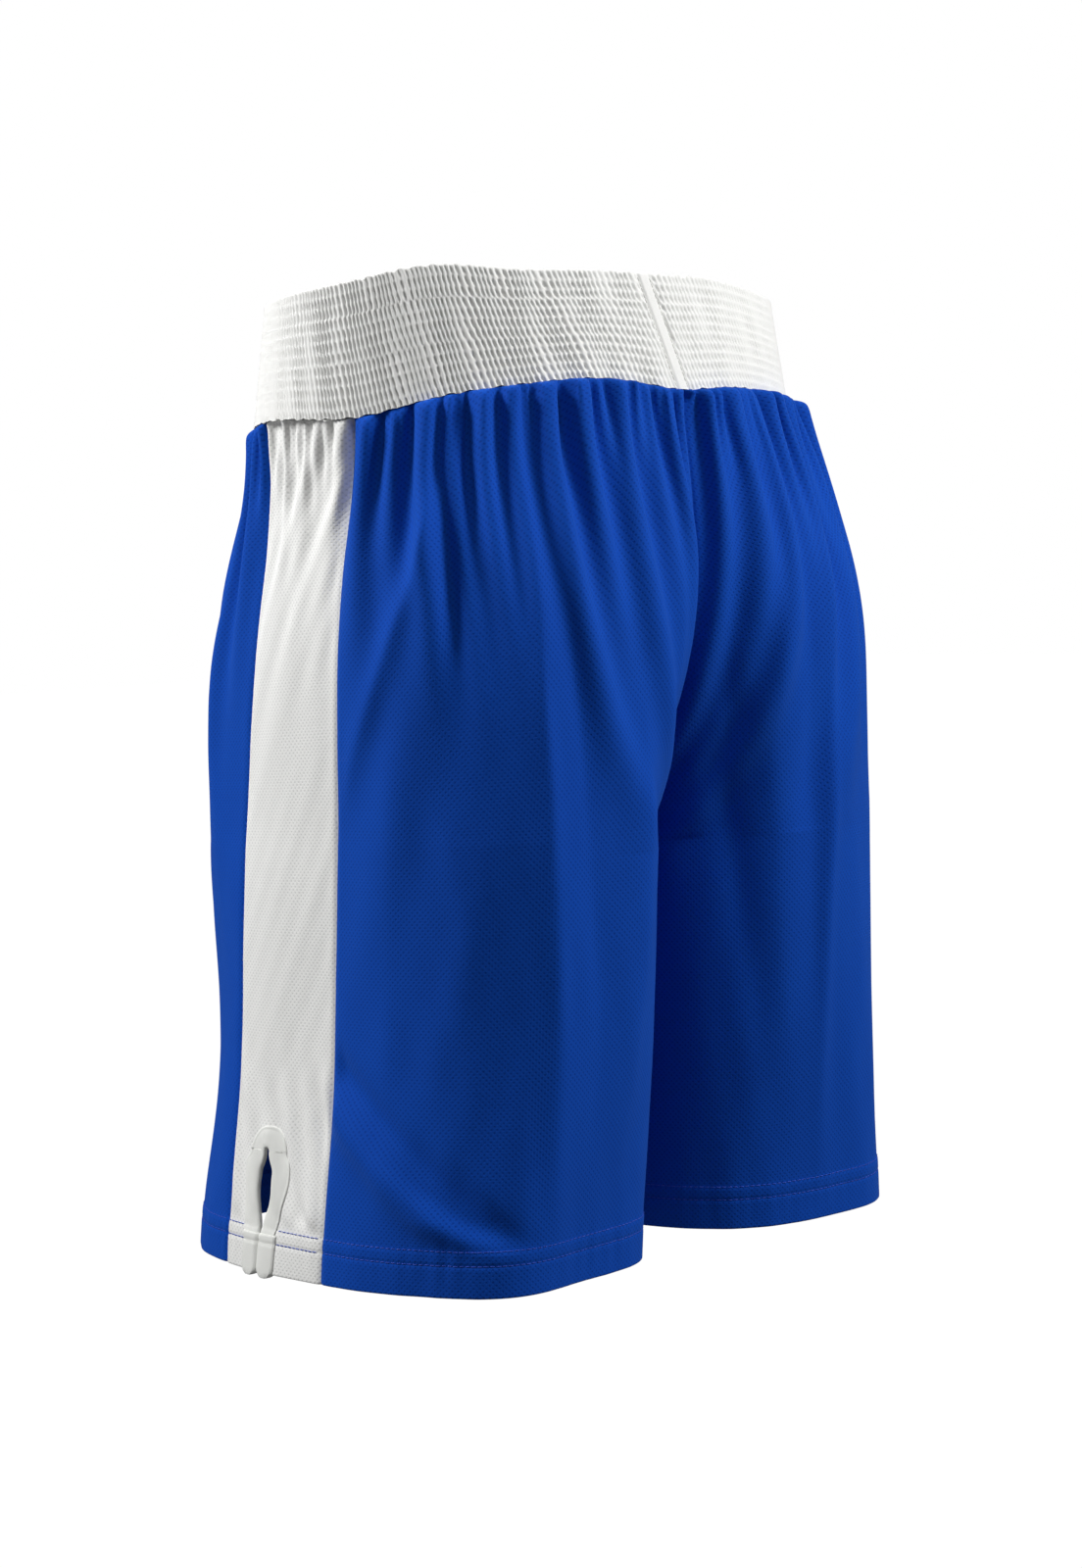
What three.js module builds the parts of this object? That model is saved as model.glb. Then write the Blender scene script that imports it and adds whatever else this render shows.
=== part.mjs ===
// Boxing shorts: a wide elastic waistband, two gathered legs of blue knit with a white side panel each,
// and a bound vent at the bottom of each side panel.
//
// Frame: millimetres, +Z up, the hems on z = 0, x = 0 the centre plane, the wearer faces -Y and the
// wearer's left is +X. Every sewn piece is cut as a flat pattern of columns and rows and then wrapped
// onto the outline of the body, so a piece is described by its outline angle, its height and its depth
// below the outer surface. Depth 0 is the outer face of the knit and grows towards the wearer.
import * as THREE from "three";

// Driving dimensions.
const SEAM_HEIGHT = 440; // hem to waist seam at the side
const BAND_HEIGHT = 60; // width of the elastic
const BAND_TILT = THREE.MathUtils.degToRad(5); // the front of the waist sits lower than the back
const CROTCH_HEIGHT = 215;
const CENTRE_CLEARANCE = 0.4; // each leg stops this far from the centre plane
const SEAM_CLEARANCE = 0.3; // each panel stops this far from a seam line
const KNIT = 0.8; // fabric thickness
const HEM_DEPTH = 24; // height of the turned-up hem
const HEM_STITCH_HEIGHTS = { lower: 16, upper: 23 };
const THREAD = 0.7;
const LEG_GAP_AT_HEM = 10; // half the gap between the two legs at the hem
const LEG_ROUNDNESS = 2.5; // exponent of the leg's outline; 2 would be an ellipse
const CROTCH_CURVE = 0.6; // share of the centre seam's curve that starts at the crotch point

// The body's outline at evenly spaced heights, from the hem to the waist seam.
const STATIONS = [
  { halfWidth: 183, halfDepth: 129, centreY: -10 },
  { halfWidth: 168, halfDepth: 132, centreY: -4 },
  { halfWidth: 165, halfDepth: 137, centreY: -3 },
  { halfWidth: 170, halfDepth: 136, centreY: -1 },
  { halfWidth: 164, halfDepth: 116, centreY: 0 },
];
const STATION_STEP = SEAM_HEIGHT / (STATIONS.length - 1);

// The side panel's two seam lines, as y at evenly spaced heights from the hem to the waist seam.
const SIDE_SEAM_Y = {
  front: [-62, -64, -60, -46, -31],
  back: [16, 14, 20, 30, 36],
};

// The vent: a slit at the bottom of the side panel, bound with tape.
const VENT_Y = -32;
const VENT_HALF_WIDTH = 3;
const VENT_HEIGHT = 62; // where the slit ends and its arch begins
const FLAP_TOP = VENT_HEIGHT - 1; // the corners beside the slit swing out below the arch
const TAPE_WIDTH = 10;
const TAPE = 0.6;

// The waistband: a casing folded over an elastic, with both ends joined at the centre back.
const BAND_TOP = { halfWidth: 160, halfDepth: 101, centreY: 7 };
const ELASTIC = 1.2;
const BAND_LAYER_GAP = 0.3;
const BAND_THICKNESS = 2 * KNIT + ELASTIC + 2 * BAND_LAYER_GAP;
const BAND_JOIN_GAP = 0.6;
const JOIN_STITCH_SPACING = 6;
const PANEL_TUCK = BAND_THICKNESS + 1.8; // the panels' top edge lies this far inside the band's face
const PANEL_TOP = SEAM_HEIGHT - 0.8;
const TUCK_HEIGHT = 7;

// Materials.
const matte = (colour, roughness) => new THREE.MeshStandardMaterial({ color: colour, roughness, metalness: 0 });
const BLUE_KNIT = matte(0x1a44b0, 0.85);
const WHITE_KNIT = matte(0xe4e4e1, 0.85);
const WHITE_SATIN = matte(0xececea, 0.7);
const WHITE_TAPE = matte(0xe0e1dd, 0.9);
const ELASTIC_WHITE = matte(0xf2f2ee, 0.8);
const BLUE_THREAD = matte(0x2a4fae, 0.6);
const WHITE_THREAD = matte(0xf0f0ec, 0.6);
const LABEL_WHITE = matte(0xf6f6f4, 0.5);

const lerp = THREE.MathUtils.lerp;
const clamp01 = (value) => THREE.MathUtils.clamp(value, 0, 1);
const signedPower = (value, power) => Math.sign(value) * Math.abs(value) ** power;

// A smooth curve through evenly spaced values; height is in units of STATION_STEP.
function alongStations(values, height) {
  const t = THREE.MathUtils.clamp(height / STATION_STEP, 0, values.length - 1);
  const i = Math.min(Math.floor(t), values.length - 2);
  const before = values[Math.max(i - 1, 0)];
  const after = values[Math.min(i + 2, values.length - 1)];
  const s = t - i;
  const a = values[i];
  const b = values[i + 1];
  const startSlope = (b - before) / 2;
  const endSlope = (after - a) / 2;
  const s2 = s * s;
  const s3 = s2 * s;
  return (2 * s3 - 3 * s2 + 1) * a + (s3 - 2 * s2 + s) * startSlope + (3 * s2 - 2 * s3) * b + (s3 - s2) * endSlope;
}

// The left half's outline at a height: a rounded oval around the leg. Below the crotch it clears the
// centre plane; above it the two halves run into each other until they share one oval at the waist.
function outlineAt(z) {
  const halfWidth = alongStations(STATIONS.map((s) => s.halfWidth), z);
  const rise = clamp01((z - CROTCH_HEIGHT) / (SEAM_HEIGHT - CROTCH_HEIGHT));
  const merged = CROTCH_CURVE * rise ** 1.25 + (1 - CROTCH_CURVE) * rise ** 4;
  const fall = clamp01(1 - z / CROTCH_HEIGHT);
  const innerX = rise > 0
    ? CENTRE_CLEARANCE - (halfWidth + CENTRE_CLEARANCE) * merged
    : lerp(CENTRE_CLEARANCE, LEG_GAP_AT_HEM, fall);
  const waistShare = clamp01((SEAM_HEIGHT - z) / (SEAM_HEIGHT / 2));
  return {
    centreX: (halfWidth + innerX) / 2,
    radiusX: (halfWidth - innerX) / 2,
    centreY: alongStations(STATIONS.map((s) => s.centreY), z),
    radiusY: alongStations(STATIONS.map((s) => s.halfDepth), z),
    power: 2 / lerp(2, LEG_ROUNDNESS, waistShare),
  };
}

// Outline angle: 0 at the side, negative towards the front, positive towards the back.
function angleAtY(z, y) {
  const o = outlineAt(z);
  return Math.asin(THREE.MathUtils.clamp(signedPower((y - o.centreY) / o.radiusY, 1 / o.power), -1, 1));
}

// The angle of the centre seam, or of the inseam below the crotch.
function centreAngle(z) {
  const o = outlineAt(z);
  const reach = Math.min((o.centreX - CENTRE_CLEARANCE) / o.radiusX, 1);
  const atCentrePlane = Math.acos(-(reach ** (1 / o.power)));
  const atInseam = Math.PI - Math.asin((SEAM_CLEARANCE / o.radiusY) ** (1 / o.power));
  return Math.min(atCentrePlane, atInseam);
}

// A point of the body: outline angle, height, depth below the outer face.
function bodyPoint(angle, z, depth) {
  const o = outlineAt(z);
  const cos = Math.cos(angle);
  const sin = Math.sin(angle);
  const normal = new THREE.Vector2(
    signedPower(cos, 2 - o.power) / o.radiusX,
    signedPower(sin, 2 - o.power) / o.radiusY,
  ).normalize();
  const x = o.centreX + o.radiusX * signedPower(cos, o.power) - depth * normal.x;
  const y = o.centreY + o.radiusY * signedPower(sin, o.power) - depth * normal.y;
  return new THREE.Vector3(x, y, z * (1 + (y * Math.tan(BAND_TILT)) / SEAM_HEIGHT));
}

// A closed sheet over a grid of columns and rows. place(column, row, inner) gives each corner.
function sheet(columns, rows, place) {
  const geometry = new THREE.BoxGeometry(1, 1, 1, columns.length - 1, rows.length - 1, 1);
  const position = geometry.getAttribute("position");
  for (let i = 0; i < position.count; i++) {
    const column = columns[Math.round((position.getX(i) + 0.5) * (columns.length - 1))];
    const row = rows[Math.round((position.getY(i) + 0.5) * (rows.length - 1))];
    const point = place(column, row, position.getZ(i) < 0);
    position.setXYZ(i, point.x, point.y, point.z);
  }
  matchDiagonals(geometry);
  geometry.computeVertexNormals();
  return geometry;
}

// Splits the squares of a box's last face along the other diagonal, so that they match the face opposite
// and a thin sheet keeps its thickness where it twists.
function matchDiagonals(geometry) {
  const index = geometry.getIndex();
  const { start, count } = geometry.groups[5];
  for (let i = start; i < start + count; i += 6) {
    const [a, b, d, c] = [0, 1, 2, 4].map((offset) => index.getX(i + offset));
    [a, b, c, a, c, d].forEach((corner, offset) => index.setX(i + offset, corner));
  }
}

// A flat shape extruded in steps, with each corner (x, y, distance along the extrusion) then placed.
function sweptShape(points, length, steps, place) {
  const shape = new THREE.Shape(points.map(([x, y]) => new THREE.Vector2(x, y)));
  const geometry = new THREE.ExtrudeGeometry(shape, { depth: length, steps, bevelEnabled: false });
  const position = geometry.getAttribute("position");
  for (let i = 0; i < position.count; i++) {
    const point = place(position.getX(i), position.getY(i), position.getZ(i));
    position.setXYZ(i, point.x, point.y, point.z);
  }
  geometry.computeVertexNormals();
  return geometry;
}

const evenly = (from, to, steps) => Array.from({ length: steps + 1 }, (_, i) => lerp(from, to, i / steps));

function named(name, geometry, material) {
  const mesh = new THREE.Mesh(geometry, material);
  mesh.name = name;
  return mesh;
}

// The depth of a panel's outer face: level with the body, but tucked inside the waistband at the top.
const tuckDepth = (z) => PANEL_TUCK * clamp01(1 - (PANEL_TOP - z) / TUCK_HEIGHT);
const clothDepth = (z, inner) => tuckDepth(z) + (inner ? (z <= HEM_DEPTH ? 2 * KNIT : KNIT) : 0);

const ALLOWANCE_TOP = SEAM_HEIGHT - 14; // the seam allowances inside end below the waistband
const PANEL_ROWS = [
  0, HEM_DEPTH, HEM_DEPTH + 1, VENT_HEIGHT, 105, 150, 190, CROTCH_HEIGHT, CROTCH_HEIGHT + 6,
  235, 262, 300, 340, 380, 405, ALLOWANCE_TOP, PANEL_TOP - TUCK_HEIGHT, PANEL_TOP,
];
const PANEL_SHARES = evenly(0, 1, 14);

// Columns run with the outline angle, so that a sheet's outer face points outwards.
const inAngleOrder = (side, shares) => (side > 0 ? shares : [...shares].reverse());

// The outline angle at a share of the way from a blue panel's side seam to its centre seam or inseam. Just
// above the crotch the centre seam runs nearly level, so only the last columns are drawn in to follow it.
function panelAngle(side, share, z) {
  const seamY = side > 0 ? SIDE_SEAM_Y.back : SIDE_SEAM_Y.front;
  const start = Math.abs(angleAtY(z, alongStations(seamY, z) + side * SEAM_CLEARANCE));
  const drawnIn = (Math.PI - centreAngle(z)) / (Math.PI - start);
  const sharpness = 1 + 3 * Math.max(1 - 2 * drawnIn, 0) ** 2;
  return side * lerp(start, Math.PI, share - drawnIn * share ** sharpness);
}

// One blue panel, from the side seam to the centre seam and the inseam. side is 1 for back, -1 for front.
function bluePanel(side) {
  return sheet(inAngleOrder(side, PANEL_SHARES), PANEL_ROWS, (share, z, inner) =>
    bodyPoint(panelAngle(side, share, z), z, clothDepth(z, inner)),
  );
}

// The white side panel above the vent. Its bottom edge is notched for the arch of the vent.
function sidePanel() {
  const notch = VENT_HALF_WIDTH + SEAM_CLEARANCE;
  const notchYs = [-1, -0.7, 0, 0.7, 1].map((share) => VENT_Y + notch * share);
  const shares = [0, 0.5, ...notchYs, 0.5, 1];
  const columns = shares.map((value, i) => ({ value, part: i < 2 ? "front" : i > 6 ? "back" : "notch" }));
  const rows = PANEL_ROWS.filter((z) => z > VENT_HEIGHT);
  rows.unshift(VENT_HEIGHT + SEAM_CLEARANCE, VENT_HEIGHT + SEAM_CLEARANCE + 8);
  return sheet(columns, rows, (column, z, inner) => {
    const front = alongStations(SIDE_SEAM_Y.front, z) + SEAM_CLEARANCE;
    const back = alongStations(SIDE_SEAM_Y.back, z) - SEAM_CLEARANCE;
    let y = column.value;
    if (column.part === "front") y = lerp(front, notchYs[0], column.value);
    if (column.part === "back") y = lerp(notchYs[4], back, column.value);
    const offCentre = Math.min(Math.abs(y - VENT_Y) / notch, 1);
    const height = z === rows[0] ? z + notch * Math.sqrt(1 - offCentre ** 2) : z;
    return bodyPoint(angleAtY(height, y), height, clothDepth(height, inner));
  });
}

// The outline angle at a share of the way from the vent's slit to the side seam.
function flapAngle(side, share, z, slitMargin, seamMargin) {
  const seamY = alongStations(side > 0 ? SIDE_SEAM_Y.back : SIDE_SEAM_Y.front, z);
  const from = VENT_Y + side * (VENT_HALF_WIDTH + slitMargin);
  return angleAtY(z, lerp(from, seamY - side * (SEAM_CLEARANCE + seamMargin), share));
}

const FLAP_SHARES = evenly(0, 1, 4);

// One corner of the side panel beside the vent.
function ventFlap(side) {
  const rows = [0, HEM_DEPTH, HEM_DEPTH + 1, FLAP_TOP];
  return sheet(inAngleOrder(side, FLAP_SHARES), rows, (share, z, inner) =>
    bodyPoint(flapAngle(side, share, z, 0, 0), z, clothDepth(z, inner)),
  );
}

// Cross-section of the folded tape, as (distance from the cloth's edge, depth): a channel round the edge.
function tapeSection() {
  const outer = -SEAM_CLEARANCE;
  const inner = 2 * KNIT + SEAM_CLEARANCE;
  const edge = -SEAM_CLEARANCE;
  return [
    [TAPE_WIDTH, outer - TAPE],
    [edge - TAPE, outer - TAPE],
    [edge - TAPE, inner + TAPE],
    [TAPE_WIDTH, inner + TAPE],
    [TAPE_WIDTH, inner],
    [edge, inner],
    [edge, outer],
    [TAPE_WIDTH, outer],
  ];
}

function ventLegTape(side) {
  return sweptShape(tapeSection(), FLAP_TOP, 4, (fromEdge, depth, along) => {
    const z = side > 0 ? along : FLAP_TOP - along;
    return bodyPoint(angleAtY(z, VENT_Y + side * (VENT_HALF_WIDTH + fromEdge)), z, depth);
  });
}

function ventArchTape() {
  return sweptShape(tapeSection(), Math.PI, 10, (fromEdge, depth, turn) => {
    const y = VENT_Y + (VENT_HALF_WIDTH + fromEdge) * Math.cos(turn);
    const z = VENT_HEIGHT + (VENT_HALF_WIDTH + fromEdge) * Math.sin(turn);
    return bodyPoint(angleAtY(z, y), z, depth);
  });
}

// A row of hem stitches lying on the outer face at one height.
function hemStitch(height, columns, angleAt) {
  const rows = [height - THREAD / 2, height + THREAD / 2];
  return sheet(columns, rows, (column, z, inner) =>
    bodyPoint(angleAt(column, z), z, inner ? -SEAM_CLEARANCE : -SEAM_CLEARANCE - THREAD),
  );
}

// An overlocked seam allowance is a ribbon standing a little way inside the cloth.
const ALLOWANCE_DEPTH = 2 * KNIT + 2 * SEAM_CLEARANCE;
const ALLOWANCE_THICKNESS = 1;
const ALLOWANCE_WIDTH = 5;
const RISE_ALLOWANCE_BOTTOM = 340;
const ribbonDepth = (inner) => ALLOWANCE_DEPTH + (inner ? ALLOWANCE_THICKNESS : 0);
const rowsBetween = (low, high) => [low, ...PANEL_ROWS.filter((z) => z > low && z < high), high];

function sideAllowance(side) {
  const seamY = side > 0 ? SIDE_SEAM_Y.back : SIDE_SEAM_Y.front;
  return sheet([-0.5, 0.5], rowsBetween(VENT_HEIGHT + 6, ALLOWANCE_TOP), (share, z, inner) =>
    bodyPoint(angleAtY(z, alongStations(seamY, z) + share * ALLOWANCE_WIDTH), z, ribbonDepth(inner)),
  );
}

// The centre seam's allowance lies along the last column of the blue panel.
function riseAllowance(side) {
  const lastColumn = PANEL_SHARES[PANEL_SHARES.length - 2];
  const shares = inAngleOrder(side, [0.35, 0.9]);
  return sheet(shares, rowsBetween(RISE_ALLOWANCE_BOTTOM, ALLOWANCE_TOP), (share, z, inner) => {
    const away = bodyPoint(panelAngle(side, lastColumn, z), z, ribbonDepth(inner));
    const seam = bodyPoint(panelAngle(side, 1, z), z, ribbonDepth(inner));
    return away.lerp(seam, share);
  });
}

function inseamAllowance() {
  return sheet([-0.5, 0.5], rowsBetween(HEM_DEPTH + 4, CROTCH_HEIGHT - 6), (share, z, inner) => {
    const o = outlineAt(z);
    const turn = Math.asin(signedPower((share * ALLOWANCE_WIDTH) / o.radiusY, 1 / o.power));
    return bodyPoint(Math.PI + turn, z, ribbonDepth(inner));
  });
}

function hemStitches(prefix) {
  const seamMargin = 1.6;
  const onPanel = (side) => [
    inAngleOrder(side, [0.01, ...PANEL_SHARES.slice(1, -1), 0.985]),
    (share, z) => panelAngle(side, share, z),
  ];
  const onFlap = (side) => [
    inAngleOrder(side, FLAP_SHARES),
    (share, z) => flapAngle(side, share, z, TAPE_WIDTH + seamMargin, seamMargin),
  ];
  const places = { back: onPanel(1), front: onPanel(-1), vent_back: onFlap(1), vent_front: onFlap(-1) };
  return Object.entries(places).flatMap(([place, [columns, angleAt]]) =>
    Object.entries(HEM_STITCH_HEIGHTS).map(([row, height]) =>
      named(`${prefix}_${place}_hem_stitch_${row}`, hemStitch(height, columns, angleAt), BLUE_THREAD),
    ),
  );
}

// One leg, modelled on the left. The right leg is its mirror image.
function leg(prefix, mirrored) {
  const group = new THREE.Group();
  group.add(
    named(`${prefix}_front_panel`, bluePanel(-1), BLUE_KNIT),
    named(`${prefix}_back_panel`, bluePanel(1), BLUE_KNIT),
    named(`${prefix}_side_panel`, sidePanel(), WHITE_KNIT),
    named(`${prefix}_vent_front_flap`, ventFlap(-1), WHITE_KNIT),
    named(`${prefix}_vent_back_flap`, ventFlap(1), WHITE_KNIT),
    named(`${prefix}_vent_front_tape`, ventLegTape(-1), WHITE_TAPE),
    named(`${prefix}_vent_back_tape`, ventLegTape(1), WHITE_TAPE),
    named(`${prefix}_vent_arch_tape`, ventArchTape(), WHITE_TAPE),
    named(`${prefix}_side_front_overlock`, sideAllowance(-1), WHITE_THREAD),
    named(`${prefix}_side_back_overlock`, sideAllowance(1), WHITE_THREAD),
    named(`${prefix}_rise_front_overlock`, riseAllowance(-1), BLUE_THREAD),
    named(`${prefix}_rise_back_overlock`, riseAllowance(1), BLUE_THREAD),
    named(`${prefix}_inseam_overlock`, inseamAllowance(), BLUE_THREAD),
    ...hemStitches(prefix),
  );
  if (mirrored) group.scale.x = -1;
  return group;
}

// A point of the waistband in its own frame: share of the way round from the centre back, height above
// the waist seam, depth below the outer face.
function bandPoint(turn, height, depth) {
  const share = height / BAND_HEIGHT;
  const waist = STATIONS[STATIONS.length - 1];
  const radiusX = lerp(waist.halfWidth, BAND_TOP.halfWidth, share);
  const radiusY = lerp(waist.halfDepth, BAND_TOP.halfDepth, share);
  const angle = Math.PI / 2 + turn * 2 * Math.PI;
  const normal = new THREE.Vector2(Math.cos(angle) / radiusX, Math.sin(angle) / radiusY).normalize();
  return new THREE.Vector3(
    radiusX * Math.cos(angle) - depth * normal.x,
    lerp(waist.centreY, BAND_TOP.centreY, share) + radiusY * Math.sin(angle) - depth * normal.y,
    height,
  );
}

const BAND_COLUMNS = 52;
const joinShare = BAND_JOIN_GAP / 2 / (2 * Math.PI * STATIONS[STATIONS.length - 1].halfWidth);
const bandTurns = evenly(joinShare, 1 - joinShare, BAND_COLUMNS);

// The casing: one strip up the outside, over the elastic and down the inside.
function bandCasing() {
  const outside = [0, 0.5, 1].map((share) => [0, share * BAND_HEIGHT]);
  const inside = [1, 0.5, 0].map((share) => [BAND_THICKNESS, share * BAND_HEIGHT]);
  const lining = (points, shift) => points.map(([depth, height]) => [depth + shift, height]);
  const outerFace = [...outside, ...inside];
  const innerFace = [...lining(outside, KNIT), ...lining(inside, -KNIT)];
  innerFace[2][1] = BAND_HEIGHT - KNIT;
  innerFace[3][1] = BAND_HEIGHT - KNIT;
  const rows = evenly(0, outerFace.length - 1, outerFace.length - 1);
  return sheet(bandTurns, rows, (turn, row, inner) => {
    const [depth, height] = (inner ? innerFace : outerFace)[row];
    return bandPoint(turn, height, depth);
  });
}

function bandRibbon(turns, heights, outerDepth, innerDepth) {
  return sheet(turns, heights, (turn, height, inner) => bandPoint(turn, height, inner ? innerDepth : outerDepth));
}

function waistband() {
  const group = new THREE.Group();
  const elasticDepth = KNIT + BAND_LAYER_GAP;
  const perMillimetre = 1 / (2 * Math.PI * STATIONS[STATIONS.length - 1].halfWidth);
  const joinStitch = (side) => {
    const centre = ((side * JOIN_STITCH_SPACING) / 2) * perMillimetre;
    const halfWidth = (THREAD / 2) * perMillimetre;
    const stitchTurns = [centre - halfWidth, centre + halfWidth];
    return bandRibbon(stitchTurns, evenly(2, BAND_HEIGHT - 2, 4), -SEAM_CLEARANCE - THREAD, -SEAM_CLEARANCE);
  };
  const labelTurns = evenly(-18 * perMillimetre, 18 * perMillimetre, 4);
  const labelDepth = BAND_THICKNESS + 0.5;
  group.add(
    named("waistband_casing", bandCasing(), WHITE_SATIN),
    named(
      "waistband_elastic",
      bandRibbon(bandTurns, [1, BAND_HEIGHT - KNIT - BAND_LAYER_GAP], elasticDepth, elasticDepth + ELASTIC),
      ELASTIC_WHITE,
    ),
    named("waistband_join_stitch_left", joinStitch(-1), WHITE_THREAD),
    named("waistband_join_stitch_right", joinStitch(1), WHITE_THREAD),
    named("waist_seam_overlock", bandRibbon(bandTurns, [2, 8], BAND_THICKNESS + 0.3, BAND_THICKNESS + 1.3), WHITE_THREAD),
    named("size_label", bandRibbon(labelTurns, [12, 40], labelDepth, labelDepth + 0.4), LABEL_WHITE),
  );
  group.position.z = SEAM_HEIGHT;
  group.rotation.x = BAND_TILT;
  return group;
}

const shorts = new THREE.Group();
shorts.add(waistband(), leg("left", false), leg("right", true));

export default shorts;
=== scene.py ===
"""Boxing shorts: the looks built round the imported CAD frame.

Every shape is worked out in millimetres in the CAD's own frame and turned into metres when its mesh is made.
The cloth follows the CAD's outline. A point of a leg is an outline angle, a height and a relief, which is
how far the cloth stands out from the CAD's outer face there.
"""
import functools
import math
import bmesh
import bpy
import numpy as np
from mathutils import Matrix, Vector


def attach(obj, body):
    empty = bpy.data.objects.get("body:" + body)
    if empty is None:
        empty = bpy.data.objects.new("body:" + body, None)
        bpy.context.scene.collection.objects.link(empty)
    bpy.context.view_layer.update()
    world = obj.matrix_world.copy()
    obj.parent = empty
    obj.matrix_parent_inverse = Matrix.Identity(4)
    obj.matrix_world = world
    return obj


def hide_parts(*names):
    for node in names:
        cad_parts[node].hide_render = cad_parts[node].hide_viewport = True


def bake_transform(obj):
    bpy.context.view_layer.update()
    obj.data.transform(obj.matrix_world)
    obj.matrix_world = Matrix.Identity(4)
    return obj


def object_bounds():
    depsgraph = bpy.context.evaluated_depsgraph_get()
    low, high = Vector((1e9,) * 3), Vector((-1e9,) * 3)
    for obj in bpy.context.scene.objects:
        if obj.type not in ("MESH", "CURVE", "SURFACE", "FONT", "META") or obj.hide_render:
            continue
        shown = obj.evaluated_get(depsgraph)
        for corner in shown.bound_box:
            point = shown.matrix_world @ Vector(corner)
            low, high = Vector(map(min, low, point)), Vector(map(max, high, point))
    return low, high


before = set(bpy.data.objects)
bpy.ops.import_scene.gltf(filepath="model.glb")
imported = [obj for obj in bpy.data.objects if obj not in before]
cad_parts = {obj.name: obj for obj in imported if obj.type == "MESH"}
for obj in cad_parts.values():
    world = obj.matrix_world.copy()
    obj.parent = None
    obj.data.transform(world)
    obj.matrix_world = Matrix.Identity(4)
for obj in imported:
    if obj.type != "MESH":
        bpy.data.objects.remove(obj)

CAD_BOX = [list(corner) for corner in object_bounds()]
MM = 0.001

# ---------------- dimensions, in millimetres
SEAM_HEIGHT = 440.0  # hem to waist seam
BAND_HEIGHT = 60.0
BAND_TILT = math.radians(5)
PANEL_TOP = SEAM_HEIGHT + 1.6
CROTCH_HEIGHT = 215.0
CENTRE_CLEARANCE = 0.04
SEAM_CLEARANCE = 0.08
KNIT = 0.8
HEM_DEPTH = 23.5
HEM_STITCH_HEIGHTS = {"lower": 16.0, "upper": 23.0}
LEG_GAP_AT_HEM = 10.0
LEG_ROUNDNESS = 2.5
CROTCH_CURVE = 0.6
CROTCH_ROUNDING = (-12.0, -6.0, 0.0, 6.0, 12.0)  # the inner edge is averaged over these steps in height
STATION_STEP = SEAM_HEIGHT / 4
HALF_WIDTHS = (183, 168, 165, 170, 164)
HALF_DEPTHS = (129, 132, 137, 136, 116)
CENTRE_YS = (-10, -4, -3, -1, 0)
SEAM_YS = {"front": (-62, -64, -60, -46, -31), "back": (16, 14, 20, 30, 36)}
VENT_Y = -32.0
VENT_HEIGHT = 62.0
VENT_END_RADIUS = 2.5
TAB_HEIGHT = 21.0
TAPE_WIDTH = 10.6
BAND_TOP = {"half_width": 160.0, "half_depth": 101.0, "centre_y": 7.0}
BAND_LAYERS = 3.4  # casing, elastic and casing together
BAND_TWIST = 9.0  # how far the top of the band has turned towards the wearer's left

SIDES = {"left": 1, "right": -1}
FACES = {"front": -1, "back": 1}

# ---------------- the outline of the body, as in the CAD


def along(values, z):
    """A smooth curve through values at evenly spaced heights."""
    values = np.asarray(values, float)
    t = np.clip(np.asarray(z, float) / STATION_STEP, 0, len(values) - 1)
    i = np.minimum(np.floor(t).astype(int), len(values) - 2)
    s = t - i
    a, b = values[i], values[i + 1]
    start_slope = (b - values[np.maximum(i - 1, 0)]) / 2
    end_slope = (values[np.minimum(i + 2, len(values) - 1)] - a) / 2
    return (
        (2 * s**3 - 3 * s**2 + 1) * a
        + (s**3 - 2 * s**2 + s) * start_slope
        + (3 * s**2 - 2 * s**3) * b
        + (s**3 - s**2) * end_slope
    )


def signed_power(value, power):
    return np.sign(value) * np.abs(value) ** power


def same_shape(*values):
    """The values as arrays of numbers, stretched to one shape."""
    return np.broadcast_arrays(*(np.asarray(value, float) for value in values))


def unit(vectors):
    return vectors / np.linalg.norm(vectors, axis=-1, keepdims=True)


def seam_y(face, z):
    """The y of a side seam, which is an edge of the white panel."""
    return along(SEAM_YS[face], z)


def inner_edge(z, half_width):
    """The x of the left leg's inner edge: clear of the centre plane below the crotch, across it above."""
    rise = np.clip((z - CROTCH_HEIGHT) / (SEAM_HEIGHT - CROTCH_HEIGHT), 0, 1)
    merged = CROTCH_CURVE * rise**1.25 + (1 - CROTCH_CURVE) * rise**4
    fall = np.clip(1 - z / CROTCH_HEIGHT, 0, 1)
    below = CENTRE_CLEARANCE + (LEG_GAP_AT_HEM - CENTRE_CLEARANCE) * fall
    above = CENTRE_CLEARANCE - (half_width + CENTRE_CLEARANCE) * merged
    return np.where(rise > 0, above, below)


def outline(z):
    """Centre x, radius x, centre y, radius y and power of the left leg's oval at a height."""
    half_width = along(HALF_WIDTHS, z)
    inner = sum(inner_edge(z + shift, half_width) for shift in CROTCH_ROUNDING) / len(CROTCH_ROUNDING)
    waist_share = np.clip((SEAM_HEIGHT - z) / (SEAM_HEIGHT / 2), 0, 1)
    power = 2 / (2 + (LEG_ROUNDNESS - 2) * waist_share)
    centre_x, radius_x = (half_width + inner) / 2, (half_width - inner) / 2
    return centre_x, radius_x, along(CENTRE_YS, z), along(HALF_DEPTHS, z), power


def angle_at_y(z, y):
    _, _, centre_y, radius_y, power = outline(z)
    return np.arcsin(np.clip(signed_power((y - centre_y) / radius_y, 1 / power), -1, 1))


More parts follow.
